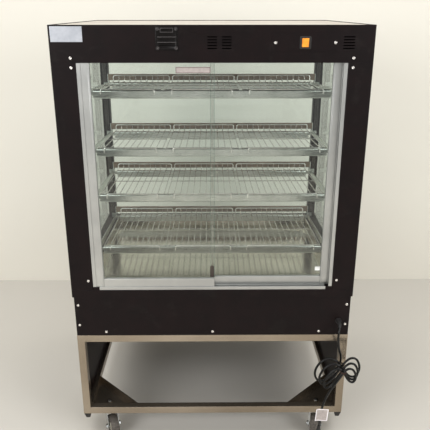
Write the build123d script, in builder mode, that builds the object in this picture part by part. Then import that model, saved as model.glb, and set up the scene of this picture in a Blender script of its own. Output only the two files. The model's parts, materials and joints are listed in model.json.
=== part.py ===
"""Ambient display case on a castor stand, seen from its service side.

The case is a sheet-metal header and plinth joined by posts, with glass on three sides, a pair of
sliding doors on the service side, four sloping shelves of lift-out wire racks, and a square-tube
stand on swivel castors. Sizes are millimetres.

Frame: the origin is on the floor under the middle of the case. +X is to the right as the person
serving sees it, -Y is towards that person, +Z is up.
"""

import os
from math import copysign, cos, pi, radians, sin, sqrt, tan

from build123d import *

# Driving dimensions of the whole
case_width = 900.0
case_depth = 740.0
castor_height = 105.0
stand_height = 310.0
plinth_height = 141.0
flange_height = 25.0
opening_height = 703.0
header_height = 101.0

# Materials that come in standard sizes
sheet = 2.0
bend = 3.0
glass = 6.0
door_glass = 5.0
fit = 0.3

# Heights above the floor, from the stack of parts
stand_z = castor_height
plinth_z = stand_z + stand_height
flange_z = plinth_z + plinth_height
sill_z = flange_z + flange_height
header_z = sill_z + opening_height
top_z = header_z + header_height

# The four faces of the case
left_x = -case_width / 2
right_x = case_width / 2
service_y = -case_depth / 2
customer_y = case_depth / 2

# Base ring, plinth and deck tray
ring_width = 48.0
ring_service = 46.0
ring_customer = 42.0
plinth_inset = 5.0
plinth_return = 24.0
tray_depth = 30.0
tray_corner = 8.0
tray_ledge = 12.0

# Posts and fixed glass
post_width = 70.0
post_depth = 45.0
corner_post_width = 31.0
corner_post_depth = 28.0
edge_setback = 1.0

# Door tracks and doors
track_depth = 32.0
track_wall = 1.5
top_track_height = 24.0
bottom_track_height = 11.0
track_short = 20.0
channel_reach = 11.0
door_thickness = 12.0
door_wall = 1.6
door_edge = 1.0
door_ride = 0.5
stile_width = 30.0
stile_entry = 5.5
door_rail_height = 36.0
door_head = 13.0
door_overlap = 12.0
groove_depth = 8.0
pull_reach = 2.5
pull_width = 5.0
pull_top_gap = 31.0
pull_low_gap = 4.0
block_width = 14.0
block_height = 38.5
block_above_rail = 1.0

# Header fittings, measured from the ends of the case and the underside of the header
panel_width = 184.0
panel_height = 46.0
panel_from_right = 193.0
fitting_z = 54.0
bezel_width = 32.0
bezel_height = 34.0
bezel_stand = 1.6
bezel_side_lip = 6.0
bezel_lip = 4.5
bezel_depth = 16.0
rocker_rest_tilt = 6.0
rocker_play = 0.6
vent_slots = 5
vent_pitch = 7.6
vent_slot_height = 3.0
side_vent_width = 32.0
side_vent_from_right = 72.0
middle_vent_width = 27.0
middle_vent_xs = (0.0, 40.0)
guard_size = 62.0
guard_from_left = 325.0
guard_z = 65.0
guard_stand = 2.0
guard_corner = 9.0
guard_bars = 6

# Light under the header
light_from_side = 60.0
light_width = 28.0
light_depth = 12.0
light_from_customer = 90.0

# Shelves: the top edge of each front rail is a whole number of slots above the lowest one
slot_pitch = 32.5
slot_height = 15.0
slot_width = 5.0
lowest_shelf_above_sill = 41.0
shelf_steps = (17, 11, 6, 0)
rail_end_gap = 19.0
front_rail_in = 260.0
shelf_reach = 396.0
shelf_drop = 24.4
rail_height = 26.0
rail_flange = 18.0
rail_return = 8.0
arm_thickness = 3.0
arm_height = 27.0
arm_tip_height = 15.0
arm_foot = 8.0
lug_height = 12.0
lug_thickness = 3.0
lug_set = 4.0
ticket_height = 24.0
ticket_depth = 7.0
ticket_wall = 1.5
ticket_above_rail = 34.0
ticket_set = 12.0
pilaster_width = 15.0
pilaster_depth = 12.0
pilaster_wall = 1.5
tab_depth = 6.0

# Wire racks: three to a shelf, of unequal width
wire = 3.0
rack_gap = 13.0
wire_counts = (11, 12, 14)
rack_upstand = 24.0
rack_hook = 12.0
weld = 0.5
cross_wires = 3

# Stand, plugs and castors
tube = 25.0
tube_wall = 1.5
tube_corner = 2.5
tube_edge = 1.5
stand_inset_x = 3.5
stand_inset_y = 3.0
stand_panel = 1.5
gusset_leg = 160.0
gusset_thickness = 3.0
plug_drop = 20.0
plug_insert = 15.0
plug_end = 14.0
castor_in_x = 84.0
castor_in_y = 58.0
wheel_radius = 37.5
wheel_width = 28.0
wheel_crown = 2.5
wheel_rim = 27.5
wheel_web = 7.0
wheel_hub = 15.0
axle_radius = 5.0
axle_clearance = 0.08
stem_radius = 5.0
nut_height = 6.0
castor_trail = 31.0
fork_wall = 2.5
fork_gap = 3.0
fork_head_radius = 24.0
fork_head_height = 10.0
castor_turns = {"front_left": 25.0, "front_right": -12.0, "rear_left": 160.0, "rear_right": 205.0}

# Mains cord
cord = 7.5
gland_from_right = 40.0
gland_above = 52.0
gland_radius = 9.5
gland_flange = 3.0
gland_length = 13.0
gland_shank = 8.0
tie_from_right = 32.0
tie_below_gland = 136.0
tie_out = 40.0
tie_height = 5.0
tie_band = 1.2
tie_opening = 16.0
bow_turns = 3
bow_step = 8.4
bow_reaches = {-1: 90.0, 1: 72.0}
bow_heights = {-1: 94.0, 1: 91.0}
bow_droops = {-1: 30.0, 1: 8.0}
bow_shrink = 0.14
bow_sag = 9.0
plug_relief_length = 22.0
plug_relief_end = 7.0
plug_body_length = 26.0
plug_width = 38.0
plug_thickness = 28.0
pin_length = 17.0
pin_width = 6.3
pin_thickness = 1.6
pin_circle = 9.0
tag_width = 42.0
tag_height = 46.0
tag_sheet = 0.6
tag_play = 0.4
tag_wrap = 18.0
tag_lean = 9.0
tag_rise = 17.0

# Screw heads, by how far they stand in from the ends of the case
screw_radius = 4.6
screw_height = 2.4
post_screw_in = 57.0
plinth_screw_in = 17.0
plinth_low_screw_in = 102.0
panel_screw_half = 82.5

# Places worked out from the sizes above
ring_inner_x = case_width / 2 - ring_width
tray_z = sill_z - tray_depth
corner_post_x = case_width / 2 - edge_setback - glass - corner_post_width / 2
corner_post_y = customer_y - ring_customer + 2 + corner_post_depth / 2
post_inner_x = case_width / 2 - post_width
track_y = service_y + sheet
outer_door_y = track_y + track_wall + (track_depth - 3 * track_wall) / 4
inner_door_y = track_y + track_depth - track_wall - (track_depth - 3 * track_wall) / 4
stile_outer_x = post_inner_x - channel_reach + stile_entry
door_floor_z = sill_z + track_wall + door_ride
groove_walls = [track_y, track_y + (track_depth - track_wall) / 2, track_y + track_depth - track_wall]
front_rail_y = service_y + front_rail_in
back_rail_y = front_rail_y + shelf_reach
shelf_tops = [sill_z + lowest_shelf_above_sill + steps * slot_pitch for steps in shelf_steps]
arm_x = case_width / 2 - edge_setback - glass - corner_post_width - arm_thickness
pilaster_x = corner_post_x
service_pilaster_y = service_y + post_depth
customer_pilaster_y = corner_post_y - corner_post_depth / 2
arm_start_y = service_pilaster_y + pilaster_depth + fit
arm_end_y = customer_pilaster_y - fit
shelf_slope = shelf_drop / (arm_end_y - front_rail_y)
rail_half = arm_x - rail_end_gap
lowest_slot_z = shelf_tops[-1] - rail_height
arm_fall = shelf_slope * (arm_end_y - front_rail_y) + arm_tip_height - rail_height
wire_pitch = (2 * (rail_half - 3) - 2 * rack_gap) / sum(count - 1 for count in wire_counts)
stand_half_x = case_width / 2 - stand_inset_x
stand_half_y = case_depth / 2 - stand_inset_y
castor_x = case_width / 2 - castor_in_x
castor_y = case_depth / 2 - castor_in_y
leg_x = stand_half_x - tube / 2
leg_y = stand_half_y - tube / 2
gusset_z = stand_z + tube_corner
plinth_face_y = service_y + plinth_inset
panel_x = right_x - panel_from_right
side_vent_x = right_x - side_vent_from_right
guard_x = left_x + guard_from_left
gland_x = right_x - gland_from_right
gland_z = plinth_z + gland_above
tie_x = right_x - tie_from_right
tie_z = gland_z - tie_below_gland

pieces = []


def finish(builder, name):
    """Label a finished piece and keep it for export."""
    builder.part.label = name
    pieces.append(builder.part)


def block(xs, ys, zs, mode=Mode.ADD):
    """A box between two corners, in the part being built."""
    with BuildSketch(Plane.XY.offset(zs[0])) as face:
        with Locations(((xs[0] + xs[1]) / 2, (ys[0] + ys[1]) / 2)):
            Rectangle(xs[1] - xs[0], ys[1] - ys[0])
    extrude(face.sketch, amount=zs[1] - zs[0], mode=mode)


def slab(width, depth, corner, z, height, mode=Mode.ADD):
    """A flat slab with rounded upright corners, centred on the case, in the part being built."""
    with BuildSketch(Plane.XY.offset(z)) as face:
        RectangleRounded(width, depth, corner)
    extrude(face.sketch, amount=height, mode=mode)


def both_sides(side, near, far):
    """The span from near to far on one side of the case, low end first."""
    return tuple(sorted((side * near, side * far)))


def outline_x(x, points, thickness, mode=Mode.ADD):
    """A flat outline of (y, z) points, given a thickness along X from x, in the part being built."""
    with BuildSketch(Plane.YZ.offset(x)) as face:
        with BuildLine():
            Polyline(*points, close=True)
        make_face()
    extrude(face.sketch, amount=thickness, mode=mode)


def folded_x(x, points, length):
    """A sheet folded along a path of (y, z) points, its thickness on the left, with rounded bends."""
    with BuildSketch(Plane.YZ.offset(x)) as section:
        with BuildLine():
            FilletPolyline(*points, radius=bend)
            offset(amount=sheet, side=Side.LEFT)
        make_face()
    extrude(section.sketch, amount=length)


def disc_y(x, z, y, radius, depth, mode=Mode.ADD):
    """A round boss whose axis is Y, from y towards the service side, in the part being built."""
    with BuildSketch(Plane.XZ.offset(-y)) as face:
        with Locations((x, z)):
            Circle(radius)
    extrude(face.sketch, amount=depth, mode=mode)


def double_channel(closed, opening):
    """Points of a channel with two grooves: the first number runs along Y, the second up to its mouth."""
    floor = closed + copysign(track_wall, opening - closed)
    points = [(track_y, closed), (track_y, opening)]
    for wall_y, next_y in zip(groove_walls, groove_walls[1:]):
        points += [
            (wall_y + track_wall, opening),
            (wall_y + track_wall, floor),
            (next_y, floor),
            (next_y, opening),
        ]
    return points + [(track_y + track_depth, opening), (track_y + track_depth, closed)]


# Base: the welded plinth and base ring
with BuildPart() as base_shell:
    slab(case_width, case_depth, bend, flange_z, flange_height)
    fillet(base_shell.faces().sort_by(Axis.Z)[-1].edges(), sheet / 2)
    block(
        (-ring_inner_x, ring_inner_x),
        (service_y + ring_service, customer_y - ring_customer),
        (flange_z, sill_z),
        Mode.SUBTRACT,
    )
    slab(
        case_width - 2 * sheet,
        case_depth - 2 * sheet,
        bend - sheet,
        flange_z,
        flange_height - sheet,
        Mode.SUBTRACT,
    )
    plinth_width = case_width - 2 * plinth_inset
    plinth_depth = case_depth - 2 * plinth_inset
    slab(plinth_width, plinth_depth, bend, plinth_z, plinth_height + flange_height - sheet)
    slab(
        plinth_width - 2 * sheet,
        plinth_depth - 2 * sheet,
        bend - sheet,
        plinth_z + sheet,
        plinth_height + flange_height - 2 * sheet,
        Mode.SUBTRACT,
    )
    window = right_x - plinth_inset - plinth_return
    block(
        (-window, window),
        (plinth_face_y, plinth_face_y + sheet),
        (plinth_z + plinth_return, flange_z),
        Mode.SUBTRACT,
    )
    well_x = ring_inner_x
    well_ys = (service_y + ring_service, customer_y - ring_customer)
    ledge_z = tray_z - 2 * sheet
    block(
        (-well_x - sheet, well_x + sheet),
        (well_ys[0] - sheet, well_ys[1] + sheet),
        (ledge_z, sill_z - sheet),
    )
    block((-well_x, well_x), well_ys, (ledge_z + sheet, sill_z - sheet), Mode.SUBTRACT)
    block(
        (-well_x + tray_ledge, well_x - tray_ledge),
        (well_ys[0] + tray_ledge, well_ys[1] - tray_ledge),
        (ledge_z, ledge_z + sheet),
        Mode.SUBTRACT,
    )
    for side in (-1, 1):
        end_x = min(side * (post_inner_x - track_short), side * post_inner_x)
        outline_x(end_x, double_channel(sill_z, sill_z + bottom_track_height), track_short)
finish(base_shell, "base_shell")

# Screwed panels: one closes the plinth on the service side, and three are let into the stand's
# sides and customer side, which leaves the stand open for storage where the person serving stands
with BuildPart() as plinth_panel:
    with BuildSketch(Plane.XZ.offset(-plinth_face_y)) as face:
        with Locations((0, (plinth_z + flange_z) / 2)):
            Rectangle(plinth_width, plinth_height)
        with Locations((gland_x, gland_z)):
            Circle(gland_radius - 2, mode=Mode.SUBTRACT)
    extrude(face.sketch, amount=sheet)
    panel_zs = (stand_z + tube, plinth_z - tube)
    for side in (-1, 1):
        block(
            both_sides(side, leg_x, leg_x + stand_panel),
            (-leg_y + tube / 2, leg_y - tube / 2),
            panel_zs,
        )
    block((-leg_x + tube / 2, leg_x - tube / 2), (leg_y, leg_y + stand_panel), panel_zs)
finish(plinth_panel, "plinth_panel")

# Deck tray: a stainless pan that sits on the ledge inside the base ring
tray_x = ring_inner_x - fit
tray_front_y = service_y + ring_service + fit
tray_back_y = customer_y - ring_customer - fit
with BuildPart() as deck_tray:
    with BuildSketch(Plane.XY.offset(tray_z - sheet)):
        with Locations((0, (tray_front_y + tray_back_y) / 2)):
            RectangleRounded(2 * tray_x, tray_back_y - tray_front_y, tray_corner)
    extrude(amount=tray_depth + sheet)
    fillet(deck_tray.faces().sort_by(Axis.Z)[0].edges(), bend)
    with BuildSketch(Plane.XY.offset(tray_z)):
        with Locations((0, (tray_front_y + tray_back_y) / 2)):
            RectangleRounded(
                2 * (tray_x - sheet), tray_back_y - tray_front_y - 2 * sheet, tray_corner - sheet
            )
    extrude(amount=tray_depth, mode=Mode.SUBTRACT)
finish(deck_tray, "deck_tray")

# Service posts: wide folded box sections either side of the doors
with BuildPart() as service_posts:
    with BuildSketch(Plane.XY.offset(sill_z)) as section:
        for side in (-1, 1):
            with Locations((side * (right_x - post_width / 2), service_y + post_depth / 2)):
                RectangleRounded(post_width, post_depth, bend)
                RectangleRounded(
                    post_width - 2 * sheet, post_depth - 2 * sheet, bend - sheet, mode=Mode.SUBTRACT
                )
    extrude(section.sketch, amount=opening_height)
finish(service_posts, "service_posts")

# Customer corner posts: folded sections with a rebate in which the slotted pilaster stands
with BuildPart() as customer_posts:
    for inside, mode in ((0.0, Mode.ADD), (sheet, Mode.SUBTRACT)):
        with BuildSketch(Plane.XY.offset(sill_z)) as section:
            for side in (-1, 1):
                with Locations((side * corner_post_x, corner_post_y)):
                    Rectangle(corner_post_width - 2 * inside, corner_post_depth - 2 * inside)
                with Locations((side * corner_post_x, customer_pilaster_y + (pilaster_depth + inside) / 2)):
                    Rectangle(pilaster_width + 2 * inside, pilaster_depth + inside, mode=Mode.SUBTRACT)
        extrude(section.sketch, amount=opening_height, mode=mode)
finish(customer_posts, "customer_posts")

# Fixed glass
side_glass_x = right_x - edge_setback - glass
customer_glass_y = corner_post_y + corner_post_depth / 2
with BuildPart() as side_glass:
    for side in (-1, 1):
        block(
            both_sides(side, side_glass_x, side_glass_x + glass),
            (service_y + post_depth, customer_glass_y + glass),
            (sill_z, header_z),
        )
finish(side_glass, "side_glass")

with BuildPart() as customer_glass:
    block(
        (-side_glass_x, side_glass_x),
        (customer_glass_y, customer_glass_y + glass),
        (sill_z, header_z),
    )
finish(customer_glass, "customer_glass")

# Header: a folded band, a lid let into its top, and a ceiling over the shelves
lid_recess = 2.0
lid_lip = 12.0
with BuildPart() as header_shell:
    slab(case_width, case_depth, bend, header_z, header_height)
    fillet(header_shell.faces().sort_by(Axis.Z)[-1].edges(), sheet / 2)
    slab(
        case_width - 2 * sheet, case_depth - 2 * sheet, bend - sheet, header_z, header_height, Mode.SUBTRACT
    )
    seat_z = top_z - lid_recess - sheet
    with BuildSketch(Plane.XY.offset(seat_z - sheet)) as seat:
        Rectangle(case_width - 2 * sheet, case_depth - 2 * sheet)
        Rectangle(case_width - 2 * sheet - 2 * lid_lip, case_depth - 2 * sheet - 2 * lid_lip, mode=Mode.SUBTRACT)
    extrude(seat.sketch, amount=sheet)
    slot_x_places = [side_vent_x] + list(middle_vent_xs)
    slot_widths = [side_vent_width] + [middle_vent_width] * len(middle_vent_xs)
    for place, width in zip(slot_x_places, slot_widths):
        with BuildSketch(Plane.XZ.offset(-service_y - sheet)) as slots:
            with Locations((place, header_z + fitting_z)):
                with GridLocations(vent_pitch, vent_pitch, 1, vent_slots):
                    SlotOverall(width, vent_slot_height)
        extrude(slots.sketch, amount=sheet, mode=Mode.SUBTRACT)
    with BuildSketch(Plane.XZ.offset(-service_y - sheet)) as cut_outs:
        with Locations((panel_x, header_z + fitting_z)):
            Rectangle(bezel_width - 2, bezel_height - 2)
        with Locations((guard_x, header_z + guard_z)):
            Circle(guard_size / 2 - 4)
    extrude(cut_outs.sketch, amount=sheet, mode=Mode.SUBTRACT)
finish(header_shell, "header_shell")

with BuildPart() as header_lid:
    block(
        (left_x + sheet + fit, right_x - sheet - fit),
        (service_y + sheet + fit, customer_y - sheet - fit),
        (top_z - lid_recess - sheet, top_z - lid_recess),
    )
finish(header_lid, "header_lid")

with BuildPart() as header_ceiling:
    slab(case_width - 2 * sheet, case_depth - 2 * sheet, bend - sheet, header_z, sheet)
    block(
        (-post_inner_x, post_inner_x),
        (track_y, track_y + track_depth),
        (header_z, header_z + sheet),
        Mode.SUBTRACT,
    )
finish(header_ceiling, "header_ceiling")

# Light strip with its half-round lens, screwed under the ceiling near the customer glass
light_y = customer_y - light_from_customer
light_length = case_width - 2 * light_from_side
with BuildPart() as light_strip:
    with BuildSketch(Plane.YZ.offset(-light_length / 2)) as section:
        with BuildLine():
            low = header_z - light_depth
            Line((light_y - light_width / 2, header_z), (light_y + light_width / 2, header_z))
            Line((light_y + light_width / 2, header_z), (light_y + light_width / 2, low + light_depth / 2))
            ThreePointArc(
                (light_y + light_width / 2, low + light_depth / 2),
                (light_y, low),
                (light_y - light_width / 2, low + light_depth / 2),
            )
            Line((light_y - light_width / 2, low + light_depth / 2), (light_y - light_width / 2, header_z))
        make_face()
    extrude(section.sketch, amount=light_length)
finish(light_strip, "light_strip")

# Switch panel, bezel and rocker
panel_z = header_z + fitting_z
with BuildPart() as switch_panel:
    with BuildSketch(Plane.XZ.offset(-service_y)) as plate:
        with Locations((panel_x, panel_z)):
            RectangleRounded(panel_width, panel_height, 3)
            Rectangle(bezel_width - 2, bezel_height - 2, mode=Mode.SUBTRACT)
    extrude(plate.sketch, amount=1.0)
finish(switch_panel, "switch_panel")

bezel_face_y = service_y - 1.0
with BuildPart() as switch_bezel:
    with BuildSketch(Plane.XZ.offset(-bezel_face_y)) as rim:
        with Locations((panel_x, panel_z)):
            RectangleRounded(bezel_width, bezel_height, 3)
            Rectangle(bezel_width - 2 * bezel_side_lip, bezel_height - 2 * bezel_lip, mode=Mode.SUBTRACT)
    extrude(rim.sketch, amount=bezel_stand)
    chamfer(switch_bezel.faces().sort_by(Axis.Y)[0].outer_wire().edges(), bezel_stand / 2)
    with BuildSketch(Plane.XZ.offset(-bezel_face_y)) as barrel:
        with Locations((panel_x, panel_z)):
            Rectangle(bezel_width - 2 - 2 * fit, bezel_height - 2 - 2 * fit)
            Rectangle(bezel_width - 2 * bezel_side_lip, bezel_height - 2 * bezel_lip, mode=Mode.SUBTRACT)
    extrude(barrel.sketch, amount=-bezel_depth)
    with BuildSketch(Plane.XZ.offset(-bezel_face_y - bezel_depth)) as closing:
        with Locations((panel_x, panel_z)):
            Rectangle(bezel_width - 2 - 2 * fit, bezel_height - 2 - 2 * fit)
    extrude(closing.sketch, amount=-sheet)
finish(switch_bezel, "switch_bezel")

rocker_width = bezel_width - 2 * bezel_side_lip - 2 * fit
rocker_half = bezel_height / 2 - bezel_lip - rocker_play
rocker_face = 1.0
rocker_dish = 0.8
rocker_depth = 7.0
rocker_lean = radians(rocker_rest_tilt)
rocker_plane = Plane(
    origin=(panel_x - rocker_width / 2, bezel_face_y, panel_z),
    x_dir=(0, cos(rocker_lean), sin(rocker_lean)),
    z_dir=(1, 0, 0),
)
with BuildPart() as switch_rocker:
    with BuildSketch(rocker_plane) as section:
        with BuildLine():
            ThreePointArc(
                (-rocker_face, rocker_half), (-rocker_face + rocker_dish, 0), (-rocker_face, -rocker_half)
            )
            Polyline(
                (-rocker_face, -rocker_half),
                (rocker_face, -rocker_half),
                (rocker_depth, -rocker_half / 2),
                (rocker_depth, rocker_half / 2),
                (rocker_face, rocker_half),
                (-rocker_face, rocker_half),
            )
        make_face()
    extrude(section.sketch, amount=rocker_width)
finish(switch_rocker, "switch_rocker")

# Fan guard: a square moulding with four corner lugs and cross bars
with BuildPart() as fan_guard:
    centre = (guard_x, header_z + guard_z)
    with BuildSketch(Plane.XZ.offset(-service_y)) as frame:
        with Locations(centre):
            RectangleRounded(guard_size, guard_size, 6)
            RectangleRounded(guard_size - 10, guard_size - 10, 3, mode=Mode.SUBTRACT)
    extrude(frame.sketch, amount=guard_stand)
    with BuildSketch(Plane.XZ.offset(-service_y)) as bars:
        with Locations(centre):
            with GridLocations(1, (guard_size - 10) / guard_bars, 1, guard_bars - 1):
                Rectangle(guard_size - 9, 3)
    extrude(bars.sketch, amount=guard_stand - 0.6)
    reach = guard_size / 2 - guard_corner / 2 + 1
    with BuildSketch(Plane.XZ.offset(-service_y)) as lugs:
        with Locations(centre):
            with GridLocations(2 * reach - 4, 2 * reach - 4, 2, 2):
                Circle(guard_corner / 2)
    extrude(lugs.sketch, amount=guard_stand + 0.6)
finish(fan_guard, "fan_guard")

# Door tracks: double channels over and under the doors, and at the ends of their run
track_half = post_inner_x - track_short
with BuildPart() as door_tracks:
    outline_x(-post_inner_x, double_channel(header_z + top_track_height, header_z), 2 * post_inner_x)
    outline_x(-track_half, double_channel(sill_z, sill_z + bottom_track_height), 2 * track_half)
finish(door_tracks, "door_tracks")

with BuildPart() as side_channels:
    for side in (-1, 1):
        mouth_x = side * (post_inner_x - channel_reach)
        with BuildSketch(Plane.XY.offset(sill_z + bottom_track_height)) as section:
            with BuildLine():
                Polyline(*[(x, y) for y, x in double_channel(side * post_inner_x, mouth_x)], close=True)
            make_face()
        extrude(section.sketch, amount=opening_height - bottom_track_height)
finish(side_channels, "side_channels")

# Sliding doors: an outer stile and a bottom rail of hollow extrusion, and a pane with a bare meeting edge
door_top_z = header_z + door_head
door_height = door_top_z - door_floor_z
pane_slot = door_glass + 2 * fit
pane_floor_z = door_floor_z + door_rail_height - groove_depth
pull_low_z = sill_z + bottom_track_height + pull_low_gap
for side, name, door_y in ((-1, "left_door", outer_door_y), (1, "right_door", inner_door_y)):
    stile_inner_x = side * (stile_outer_x - stile_width)
    meeting_x = -side * door_overlap / 2
    with BuildPart() as door_stile:
        with BuildSketch(Plane.XY.offset(door_floor_z)) as section:
            with Locations((side * (stile_outer_x - stile_width / 2), door_y)):
                RectangleRounded(stile_width, door_thickness, door_edge)
            with Locations((stile_inner_x + side * groove_depth / 2, door_y)):
                Rectangle(groove_depth, pane_slot, mode=Mode.SUBTRACT)
            with Locations((side * (stile_outer_x - (stile_width - groove_depth) / 2), door_y)):
                Rectangle(
                    stile_width - groove_depth - 2 * door_wall,
                    door_thickness - 2 * door_wall,
                    mode=Mode.SUBTRACT,
                )
        extrude(section.sketch, amount=door_height)
        pull_depth = pull_reach + door_edge
        with BuildSketch(Plane.XY.offset(pull_low_z)) as pull:
            with Locations(
                (stile_inner_x + side * pull_width / 2, door_y - door_thickness / 2 + door_edge - pull_depth / 2)
            ):
                RectangleRounded(pull_width, pull_depth, door_edge)
        extrude(pull.sketch, amount=header_z - pull_top_gap - pull_low_z)
    finish(door_stile, name + "_stile")

    rail_span = sorted((stile_inner_x, meeting_x))
    with BuildPart() as door_rail:
        with BuildSketch(Plane.YZ.offset(rail_span[0])) as section:
            with Locations((door_y, door_floor_z + door_rail_height / 2)):
                RectangleRounded(door_thickness, door_rail_height, door_edge)
            with Locations((door_y, pane_floor_z + groove_depth / 2)):
                Rectangle(pane_slot, groove_depth, mode=Mode.SUBTRACT)
            with Locations((door_y, (door_floor_z + pane_floor_z) / 2)):
                Rectangle(
                    door_thickness - 2 * door_wall,
                    pane_floor_z - door_floor_z - 2 * door_wall,
                    mode=Mode.SUBTRACT,
                )
        extrude(section.sketch, amount=rail_span[1] - rail_span[0])
    finish(door_rail, name + "_bottom_rail")

    pane_outer_x = stile_inner_x + side * (groove_depth - fit)
    with BuildPart() as door_pane:
        block(
            sorted((pane_outer_x, meeting_x)),
            (door_y - door_glass / 2, door_y + door_glass / 2),
            (pane_floor_z, door_top_z - fit),
        )
    finish(door_pane, name + "_glass")

# Meeting block: the buffer on the outer door's bare edge, over the bottom rail
block_z = door_floor_z + door_rail_height + block_above_rail
with BuildPart() as meeting_block:
    block(
        (door_overlap / 2 - block_width, door_overlap / 2),
        (outer_door_y + door_glass / 2, inner_door_y - door_thickness / 2 - pull_reach - 0.7),
        (block_z, block_z + block_height),
    )
    chamfer(meeting_block.edges().filter_by(Axis.Y), 1.5)
finish(meeting_block, "meeting_block")

# Slotted pilasters: two stand in the customer posts and two behind the service posts
slot_total = int((header_z - lowest_slot_z - slot_pitch) / slot_pitch) + 1
with BuildPart() as pilasters:
    for side in (-1, 1):
        for face_y, into in ((service_pilaster_y, 1), (customer_pilaster_y, 1)):
            block(
                (side * pilaster_x - pilaster_width / 2, side * pilaster_x + pilaster_width / 2),
                (face_y, face_y + pilaster_depth),
                (sill_z, header_z),
            )
            block(
                (
                    side * pilaster_x - pilaster_width / 2 + pilaster_wall,
                    side * pilaster_x + pilaster_width / 2 - pilaster_wall,
                ),
                (face_y + pilaster_wall, face_y + pilaster_depth - pilaster_wall),
                (sill_z, header_z),
                Mode.SUBTRACT,
            )
        for slot_y, first_slot_z in (
            (service_pilaster_y + pilaster_depth - pilaster_wall, lowest_slot_z),
            (customer_pilaster_y, lowest_slot_z - arm_fall),
        ):
            for step in range(slot_total):
                slot_z = first_slot_z + step * slot_pitch
                block(
                    (side * pilaster_x - slot_width / 2, side * pilaster_x + slot_width / 2),
                    (slot_y, slot_y + pilaster_wall),
                    (slot_z, slot_z + slot_height),
                    Mode.SUBTRACT,
                )
finish(pilasters, "pilasters")


def shelf_surface(top, y):
    """Height of the sloping rack seat at a distance along Y, for a shelf whose front edge is at top."""
    return top - shelf_slope * (y - front_rail_y)


def rail_path(y, top):
    """Path of a folded rail: its top flange, its face towards the service side, and its bottom return."""
    return (
        (y + rail_flange, top),
        (y, top),
        (y, top - rail_height),
        (y + rail_return, top - rail_height),
    )


# Shelf frames: two rails and two arms welded together, hung in the pilaster slots
ticket_y = arm_end_y - ticket_set - ticket_depth
for number, top in enumerate(shelf_tops, start=1):
    with BuildPart() as shelf_frame:
        folded_x(-rail_half, rail_path(front_rail_y, top), 2 * rail_half)
        folded_x(-rail_half, rail_path(back_rail_y, shelf_surface(top, back_rail_y)), 2 * rail_half)
        tip = shelf_surface(top, arm_end_y)
        ear_top = tip + ticket_above_rail
        arm_points = (
            (arm_start_y, shelf_surface(top, arm_start_y)),
            (arm_start_y, top - rail_height),
            (front_rail_y, top - arm_height),
            (arm_end_y, tip - arm_tip_height),
            (arm_end_y, tip),
            (ticket_y + ticket_depth, shelf_surface(top, ticket_y + ticket_depth)),
            (ticket_y + ticket_depth, ear_top),
            (ticket_y, ear_top),
            (ticket_y, shelf_surface(top, ticket_y)),
        )
        for side in (-1, 1):
            outline_x(min(side * arm_x, side * (arm_x + arm_thickness)), arm_points, arm_thickness)
            for rail_y in (front_rail_y, back_rail_y):
                flange_z_here = shelf_surface(top, rail_y) - sheet
                block(
                    both_sides(side, rail_half - 12, arm_x),
                    (rail_y + lug_set, rail_y + lug_set + lug_thickness),
                    (flange_z_here - lug_height, flange_z_here),
                )
            for end_y, outward, low_z in (
                (arm_start_y, -1, top - rail_height + fit),
                (arm_end_y, 1, tip - arm_tip_height + fit),
            ):
                tab_zs = (low_z, low_z + slot_height - 2 * fit)
                block(
                    both_sides(side, arm_x, pilaster_x + slot_width / 2 - fit),
                    tuple(sorted((end_y, end_y - outward * arm_foot))),
                    tab_zs,
                )
                block(
                    both_sides(side, pilaster_x - slot_width / 2 + fit, pilaster_x + slot_width / 2 - fit),
                    tuple(sorted((end_y, end_y + outward * tab_depth))),
                    tab_zs,
                )
    finish(shelf_frame, f"shelf_{number}_frame")

# Ticket rails across the customer edge of each shelf
with BuildPart() as ticket_rails:
    for top in shelf_tops:
        high = shelf_surface(top, arm_end_y) + ticket_above_rail
        low = high - ticket_height
        outline_x(
            -arm_x,
            (
                (ticket_y, high),
                (ticket_y, low),
                (ticket_y + ticket_depth, low),
                (ticket_y + ticket_depth, low + 3),
                (ticket_y + ticket_depth - ticket_wall, low + 3),
                (ticket_y + ticket_depth - ticket_wall, low + ticket_wall),
                (ticket_y + ticket_wall, low + ticket_wall),
                (ticket_y + ticket_wall, high - ticket_wall),
                (ticket_y + ticket_depth - ticket_wall, high - ticket_wall),
                (ticket_y + ticket_depth - ticket_wall, high - 3),
                (ticket_y + ticket_depth, high - 3),
                (ticket_y + ticket_depth, high),
            ),
            2 * arm_x,
        )
finish(ticket_rails, "ticket_rails")

# Wire racks: the first and last cross wires lie on the flat tops of the two rails
rack_front_y = front_rail_y + wire
rack_back_y = back_rail_y + rail_flange - wire
rack_seat_run = rack_back_y - 2 * wire - rack_front_y
rack_drop = shelf_slope * shelf_reach
rack_names = ("left", "middle", "right")


def rack_seat(top, y):
    """Height of the underside of a rack's cross wires at y, for a shelf whose front edge is at top."""
    return top - rack_drop * (y - rack_front_y) / rack_seat_run


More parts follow.
